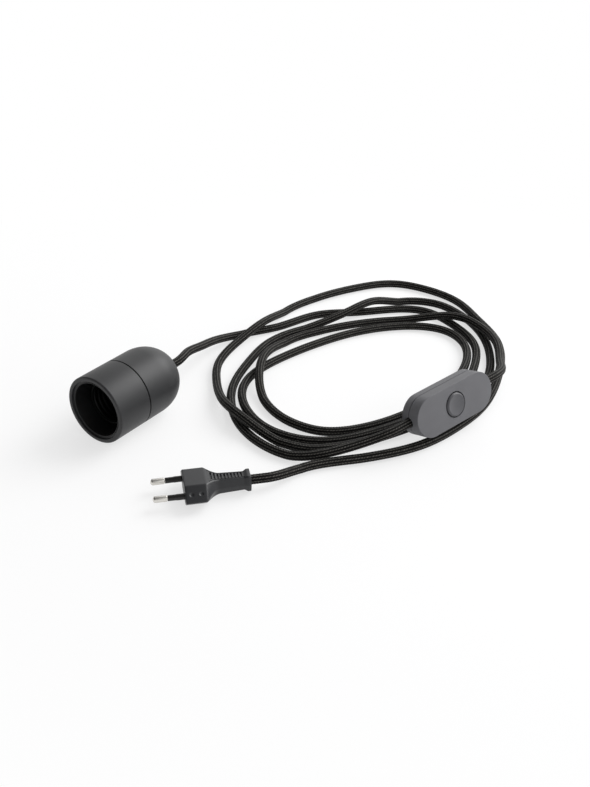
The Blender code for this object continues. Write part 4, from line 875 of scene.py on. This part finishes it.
def build_switch_cover():
    """Upper half of the switch, with the button's flared opening."""
    top, seam = SWITCH_TOP, SWITCH_SEAM + GAP / 2
    ceiling = top - SWITCH_WALL
    obj = show("switch_cover_shell", stadium_solid("switch_cover_shell", shell_rings(top, seam)))
    cut(obj, room(seam - CUT_PAST, ceiling))
    cut(obj, at_bosses(seam, ceiling + BOSS_OVERLAP, BOSS_RADIUS), "UNION")
    cut(obj, at_bosses(seam - CUT_PAST, SWITCH_SEAM + SCREW_HOLE_DEPTH, SCREW_HOLE, SCREW_STEPS))
    cut(obj, switch_cord_holes())
    (opening, deep), (flare, shallow) = BUTTON_OPENING, BUTTON_FLARE
    straight = rod(opening, top - deep, top + CUT_PAST, SMALL_TURN_STEPS)
    flared = rod(opening, top - shallow, top + shallow, SMALL_TURN_STEPS, 2 * flare - opening)
    cut(obj, [(straight, Matrix()), (flared, Matrix())])
    return finish_cut(obj, SWITCH, 30, "switch_plastic", "switch_cover")


def build_switch_base():
    """Lower half of the switch, with the wells of its two screws."""
    low, seam = -SWITCH_TOP, SWITCH_SEAM - GAP / 2
    ground = low + SWITCH_WALL
    obj = show("switch_base_shell", stadium_solid("switch_base_shell", shell_rings(low, seam)))
    cut(obj, room(ground, seam + CUT_PAST))
    cut(obj, at_bosses(ground - BOSS_OVERLAP, seam, BOSS_RADIUS), "UNION")
    cut(obj, at_bosses(low - CUT_PAST, seam + CUT_PAST, SCREW_HOLE, SCREW_STEPS))
    cut(obj, at_bosses(low - CUT_PAST, low + SCREW_WELL_DEPTH, SCREW_WELL))
    cut(obj, switch_cord_holes())
    return finish_cut(obj, SWITCH, 30, "switch_plastic", "switch_base")


def build_button():
    """The push button: dish, rounded rim, bevel, the flange under the cover and the stem."""
    r, top = BUTTON_RADIUS, SWITCH_TOP + BUTTON_PROUD
    (dish, depth), (rim, rise), (out, thick) = BUTTON_DISH, BUTTON_RIM, BUTTON_FLANGE
    edge = BUTTON_EDGE
    flange_top = SWITCH_TOP - SWITCH_WALL - GAP
    turns = quarter_turn(BUTTON_DISH_STEPS)[:-1]
    profile = [(dish * sin(turn), top - depth * cos(turn) ** 2) for turn in turns]
    profile += [(dish, top - rise)] + arc(rim - edge, top - edge, edge, 90, 45, 2)
    profile += arc(r - edge, top - BUTTON_BEVEL, edge, 40, 0, 3)
    profile += [(r, flange_top), (r + out, flange_top), (r + out, flange_top - thick),
                (STEM_RADIUS, flange_top - thick), (STEM_RADIUS, STEM_END), (0.0, STEM_END)]
    return turned_piece("button_cap", profile, SWITCH, "button_plastic", "push_button",
                        SMALL_TURN_STEPS, BUTTON_BODY)


def build_spring():
    """The return spring under the button's flange, on a mesh of its own."""
    high = SWITCH_TOP - SWITCH_WALL - 2 * GAP - BUTTON_FLANGE[1] - SPRING_WIRE
    low = SPRING_SEAT + SPRING_WIRE
    coil = STEM_RADIUS + SPRING_WIRE + GAP
    count = SPRING_TURNS * SPRING_POINTS_PER_TURN
    path = []
    for i in range(count + 1):
        a = 2 * pi * i / SPRING_POINTS_PER_TURN
        path.append((coil * cos(a), coil * sin(a), high + (low - high) * i / count))
    mesh = round_wire("return_spring", np.array(path), SPRING_WIRE, SPRING_SIDES)
    obj = dress(show("return_spring", mesh, SWITCH), "spring_steel", replaces=["button_spring"])
    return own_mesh(obj)


def round_wire(name, path, radius, sides):
    side, up = frames_along(path)
    verts = []
    for p, a, b in zip(path, side, up):
        for k in range(sides):
            t = 2 * pi * k / sides
            verts.append(p + radius * (cos(t) * a + sin(t) * b))
    faces = band_faces(len(path), sides) + end_faces(len(path), sides)
    mesh = mesh_from(name, verts, faces)
    shade(mesh, 50)
    return mesh


# Plug

def ease(value):
    """Rises smoothly from 0 to 1 while the value does."""
    value = max(0.0, min(1.0, value))
    return value * value * (3 - 2 * value)


def plug_outline(x):
    """Width, height and top flat's width of the plug at a distance from its face."""
    neck_w, neck_h = PLUG_NECK
    run = (x - PLUG_HEAD) / (PLUG_SHOULDER - PLUG_HEAD)
    share = min(1.0, (run + sqrt(run * run + PLUG_CREASE ** 2)) / 2)
    pull = sin(pi / 2 * share) ** SHOULDER_POWER
    width = PLUG_WIDTH + (neck_w - PLUG_WIDTH) * pull
    height = PLUG_THICKNESS + (neck_h - PLUG_THICKNESS) * share
    flat = PLUG_TOP_FLAT + (neck_w * NECK_FLAT - PLUG_TOP_FLAT) * pull
    if x > PLUG_SHOULDER:
        share = (x - PLUG_SHOULDER) / (PLUG_LENGTH - PLUG_SHOULDER)
        flare = ease((x - PLUG_FLARE[0]) / PLUG_FLARE[1])
        width = neck_w + (PLUG_NECK_END[0] - neck_w) * share
        width += (PLUG_FLANGE[0] - width) * flare
        height = neck_h + (PLUG_NECK_END[1] - neck_h) * share
        height += (PLUG_FLANGE[1] - height) * flare
        flat = width * NECK_FLAT
    return width, height, flat


def rib_drop(x, y, flat, reach):
    """Depth of the grooves between the grip ribs, and of the fine line on either side of them."""
    start, end = PANEL
    place = (x - RIB_START) / RIB_PITCH
    near = abs(place - round(place)) * RIB_PITCH
    along, across = RIB_FADE
    groove = ease((RIB_GROOVE - near) / along) if -0.5 < place < RIBS - 0.5 else 0.0
    groove *= ease((flat / 2 * RIB_REACH - abs(y)) / across)
    middle = flat / 2 - reach - PANEL_LINE
    line = ease((PANEL_LINE - abs(abs(y) - middle)) / PANEL_LINE_FADE)
    line *= ease((x - start) / PANEL_FADE[0]) * ease((end - x) / PANEL_FADE[1])
    return max(groove * RIB_DEPTH, line * PANEL_LINE_DEPTH)


def plug_ring(x, shrink=0.0):
    """Points round the plug at x: six rounded corners, grooves in the top and the underside."""
    width, height, flat = plug_outline(x)
    half, high, top = width / 2 - shrink, height / 2 - shrink, flat / 2 - shrink * PLUG_FACE_PULL
    corners = [(half, 0.0), (top, high), (-top, high), (-half, 0.0), (-top, -high), (top, -high)]
    share, more = CORNER_REACH
    reach = min(PLUG_CORNER, (half - top) * share + more)
    points = []
    for i, corner in enumerate(corners):
        here, before, following = Vector(corner), Vector(corners[i - 1]), Vector(corners[(i + 1) % 6])
        a = here + (before - here).normalized() * reach
        b = here + (following - here).normalized() * reach
        for k in range(CORNER_STEPS):
            t = k / (CORNER_STEPS - 1)
            points.append((1 - t) ** 2 * a + 2 * t * (1 - t) * here + t * t * b)
        c = following + (here - following).normalized() * reach
        fill = FLAT_STEPS if i in (1, 4) else SIDE_STEPS
        points += [b + (c - b) * k / fill for k in range(1, fill)]
    ring = []
    for y, z in points:
        drop = rib_drop(x, y, flat, reach) if abs(z) > high - FLAT_NEARNESS else 0.0
        ring.append((x, y, z - drop if z > 0 else z + drop))
    return ring


def plug_sections():
    """Places of the plug's sections: close together where ribs and creases need them."""
    coarse = PLUG_HEAD - PLUG_FINE_LEAD - PLUG_FACE_EDGE
    places = [PLUG_FACE_EDGE + coarse * i / PLUG_HEAD_STEPS for i in range(1, PLUG_HEAD_STEPS + 1)]
    fine_end = PLUG_FLARE[0] + PLUG_FLARE[1]
    count = int((fine_end - places[-1]) / RIB_STEP)
    places += [places[-1] + (fine_end - places[-1]) * i / count for i in range(1, count + 1)]
    return places


def at_place(x, ring):
    return [(x, y, z) for _, y, z in ring]


def build_plug_body():
    """The plug: six-sided head with dimples, hollowed shoulder, grip ribs and flared end."""
    edge = PLUG_FACE_EDGE
    turns = quarter_turn(PLUG_FACE_STEPS)
    rings = [at_place(edge * (1 - cos(t)), plug_ring(0.0, edge * (1 - sin(t)))) for t in turns]
    rings += [plug_ring(place) for place in plug_sections()]
    for t in turns:
        ring = plug_ring(PLUG_LENGTH, edge * (1 - cos(t)))
        rings.append(at_place(PLUG_LENGTH - edge * (1 - sin(t)), ring))
    count = len(rings[0])
    verts = [p for ring in rings for p in ring]
    faces = end_faces(len(rings), count) + band_faces(len(rings), count)
    obj = show("plug_moulding", mesh_from("plug_moulding", verts, faces))
    depth, across, high = PLUG_POCKET
    half_width, half_height = PLUG_CHANNEL
    bore_start = PLUG_LENGTH - PLUG_BORE_DEPTH
    pocket = block((-CUT_PAST, -across, -high), (depth, across, high))
    bore = rod(CORD_HOLE, bore_start, PLUG_LENGTH + CUT_PAST)
    channel = block((depth - CUT_PAST, -half_width, -half_height),
                    (bore_start + CHANNEL_OVERLAP, half_width, half_height))
    cut(obj, [(pocket, Matrix()), (bore, Matrix.Rotation(pi / 2, 4, "Y")), (channel, Matrix())])
    cut(obj, plug_dimples())
    return finish_cut(obj, PLUG, 28, "plug_plastic", "plug_body")


def plug_dimples():
    """Balls that press two shallow dimples into each of the head's four slopes."""
    slope = atan2(PLUG_THICKNESS / 2, (PLUG_WIDTH - PLUG_TOP_FLAT) / 2)
    across = (PLUG_WIDTH + PLUG_TOP_FLAT) / 4
    made = []
    for x in DIMPLE_PLACES:
        for side in (1, -1):
            for level in (1, -1):
                middle = Vector((x, side * across, level * PLUG_THICKNESS / 4))
                normal = Vector((0, side * sin(slope), level * cos(slope)))
                middle += normal * (DIMPLE_RADIUS - DIMPLE_DEPTH)
                made.append((ball(DIMPLE_RADIUS), Matrix.Translation(middle)))
    return made


def pin_place(side):
    """The frame of a pin: its tip, with Z along the pin into the plug."""
    tip = Matrix.Translation((-PIN_LENGTH, side * PIN_TIP_SIDE, 0))
    return PLUG @ tip @ Matrix.Rotation(side * PIN_TILT, 4, "Z") @ Matrix.Rotation(pi / 2, 4, "Y")


def build_pins():
    """Nickelled pins with domed tips, and slim sleeves that thicken towards the plug."""
    made = []
    e = PIN_SHOULDER
    swell_start, swell_end = SLEEVE_SWELL
    lip_place, lip = SLEEVE_LIP
    for word, side in (("left", 1), ("right", -1)):
        profile = [(0.0, PIN_END), (PIN_CORE, PIN_END), (PIN_CORE, PIN_BARE)]
        profile += arc(PIN_RADIUS - e, PIN_BARE - e, e, 90, 0, 4)
        for turn in quarter_turn(PIN_DOME_STEPS):
            profile.append((PIN_RADIUS * cos(turn), PIN_DOME - PIN_DOME * sin(turn)))
        made.append(turned_piece(f"pin_{word}_plated", profile, pin_place(side), "nickel",
                                 f"pin_{word}", PIN_TURN_STEPS))
        sleeve = [(SLEEVE_THICK, SLEEVE_END), (SLEEVE_THICK, PIN_LENGTH),
                  (SLEEVE_THICK, PIN_LENGTH - swell_end), (SLEEVE_THIN, PIN_LENGTH - swell_start)]
        sleeve += arc(SLEEVE_BORE, PIN_BARE + lip_place, lip, 0, -90, 3)
        sleeve += [(SLEEVE_BORE, SLEEVE_END)]
        made.append(turned_piece(f"pin_{word}_sleeve", sleeve, pin_place(side), "sleeve_plastic",
                                 f"pin_sleeve_{word}", PIN_TURN_STEPS))
    return made


def build_pin_bridge():
    """The plate in the plug's face that holds the pins."""
    depth, across, high = BRIDGE_PLATE
    plate = show("face_plate", block((0.0, -across, -high), (depth, across, high)))
    edge = plate.modifiers.new("edges", "BEVEL")
    edge.width = BRIDGE_EDGE
    edge.segments = 3
    apply_modifiers(plate)
    start, end = PIN_LENGTH - CUT_PAST, PIN_LENGTH + depth + 2 * CUT_PAST
    for side in (1, -1):
        cut(plate, [(rod(BRIDGE_HOLE, start, end), PLUG.inverted() @ pin_place(side))])
    return finish_cut(plate, PLUG, 35, "plug_plastic", "pin_bridge")


# Cords, camera, floor and light

def build_cords():
    reach = SWITCH_LENGTH / 2
    at_plug = cord_end(PLUG, (PLUG_LENGTH - CORD_INSIDE, 0, 0), (PLUG_LENGTH + CORD_STUB, 0, 0))
    ends = [cord_end(SWITCH, (side * (reach - CORD_INSIDE), 0, SWITCH_SEAM),
                     (side * (reach + CORD_STUB), 0, SWITCH_SEAM)) for side in (-1, 1)]
    at_holder = cord_end(HOLDER, (0, 0, HOLDER_LENGTH - CORD_INSIDE), (0, 0, HOLDER_LENGTH + CORD_STUB))
    first = cord_route(at_plug, PLUG_TO_SWITCH, ends[0])[::-1]
    second = cord_route(ends[1], SWITCH_TO_HOLDER, at_holder)[::-1]
    add_cord("cord_to_plug", "cord_plug_to_switch", first)
    add_cord("cord_to_switch", "cord_switch_to_holder", second)


def add_cord(name, node, path):
    """Makes one cord, from where it leaves its housing."""
    cord = dress(braided_tube(name, path), "cord_fabric", replaces=[node])


def looking(place, aim):
    """The frame of a camera or lamp at a place that points at the aim."""
    turn = (Vector(aim) - Vector(place)).to_track_quat("-Z", "Y")
    return Matrix.Translation(place) @ turn.to_matrix().to_4x4()


def add_camera():
    data = bpy.data.cameras.new("camera")
    data.sensor_fit = "HORIZONTAL"
    data.sensor_width = CAMERA_SENSOR
    data.lens = CAMERA_LENS
    data.clip_start = 0.01
    camera = show("camera", data)
    camera.matrix_world = looking(CAMERA_PLACE, CAMERA_AIM)
    bpy.context.scene.camera = camera


def add_floor():
    """A pale sheet of paper: white to the eye beyond the object, and keeping its shadow near it."""
    bm = bmesh.new()
    bmesh.ops.create_grid(bm, x_segments=1, y_segments=1, size=FLOOR_REACH)
    floor = show("floor", mesh_of(bm, "floor"))
    floor.location.z = -FLOOR_DROP
    mat, nodes, links, shader = new_material("floor_paper")
    noise = object_noise(shader, 3.0)
    links.new(ramp(noise, *PAPER), shader.inputs["Base Color"])
    shader.inputs["Roughness"].default_value = 0.9
    shader.inputs["Specular IOR Level"].default_value = 0.1
    white = nodes.new("ShaderNodeEmission")
    place = nodes.new("ShaderNodeTexCoord")
    away = nodes.new("ShaderNodeVectorMath")
    away.operation = "DISTANCE"
    away.inputs[1].default_value = FLOOR_MIDDLE
    links.new(place.outputs["Object"], away.inputs[0])
    share = fade(away.outputs["Value"], FLOOR_FADE, (FLOOR_WHITE, 1.0))
    rays = nodes.new("ShaderNodeLightPath")
    seen = rays.outputs["Is Camera Ray"]
    for ray in ("Is Glossy Ray", "Is Transmission Ray"):
        seen = math_node("MAXIMUM", seen, rays.outputs[ray])
    mix = nodes.new("ShaderNodeMixShader")
    links.new(math_node("MULTIPLY", seen, share), mix.inputs["Fac"])
    links.new(shader.outputs["BSDF"], mix.inputs[1])
    links.new(white.outputs["Emission"], mix.inputs[2])
    links.new(mix.outputs["Shader"], nodes["Material Output"].inputs["Surface"])
    floor.data.materials.append(mat)


def add_lights():
    """A pale studio, dark overhead and to the front left, and a soft lamp behind on the right."""
    world = bpy.data.worlds.new("studio")
    bpy.context.scene.world = world
    world.use_nodes = True
    nodes, links = world.node_tree.nodes, world.node_tree.links
    place = nodes.new("ShaderNodeTexCoord")
    parts = nodes.new("ShaderNodeSeparateXYZ")
    links.new(place.outputs["Generated"], parts.inputs["Vector"])
    side = nodes.new("ShaderNodeVectorMath")
    side.operation = "DOT_PRODUCT"
    side.inputs[1].default_value = SKY_SIDE
    links.new(place.outputs["Generated"], side.inputs[0])
    round_the_sides = fade(side.outputs["Value"], SKY_FADE, (SKY_DARK, SKY_BRIGHT))
    overhead = fade(parts.outputs["Z"], OVERHEAD_FADE, (1.0, SKY_OVERHEAD))
    sky = math_node("MULTIPLY", round_the_sides, overhead)
    above = fade(parts.outputs["Z"], HORIZON_FADE, (0.0, 1.0))
    spare = math_node("SUBTRACT", sky, HORIZON)
    strength = math_node("MULTIPLY_ADD", spare, above, HORIZON)
    links.new(strength, nodes["Background"].inputs["Strength"])
    nodes["Background"].inputs["Color"].default_value = (1.0, 1.0, 1.0, 1.0)
    data = bpy.data.lights.new("key", "AREA")
    data.shape = "RECTANGLE"
    data.size, data.size_y = KEY_SIZE
    data.energy = KEY_POWER
    show("key", data).matrix_world = looking(KEY_PLACE, FLOOR_MIDDLE)


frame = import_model()
MATERIALS = make_materials()
add_camera()
slot_of = {row["node"]: row["material_slot"] for row in frame["record"]["subparts"]}
for node_name, node in frame["nodes"].items():
    node.data.materials.clear()
    node.data.materials.append(MATERIALS[slot_of[node_name]])
    shade(node.data, 30)

build_skirt()
build_dome()
build_thread_sleeve()
build_carrier()
switch_made = [build_switch_cover(), build_switch_base(), build_button(), build_spring()]
switch_made += [frame["nodes"][name] for name in SWITCH_INSIDE]
plug_made = [build_plug_body(), build_pin_bridge()] + build_pins()
plug_made += [frame["nodes"][name] for name in PLUG_INSIDE]
build_cords()
add_floor()
add_lights()
bpy.context.scene.view_settings.view_transform = "Standard"
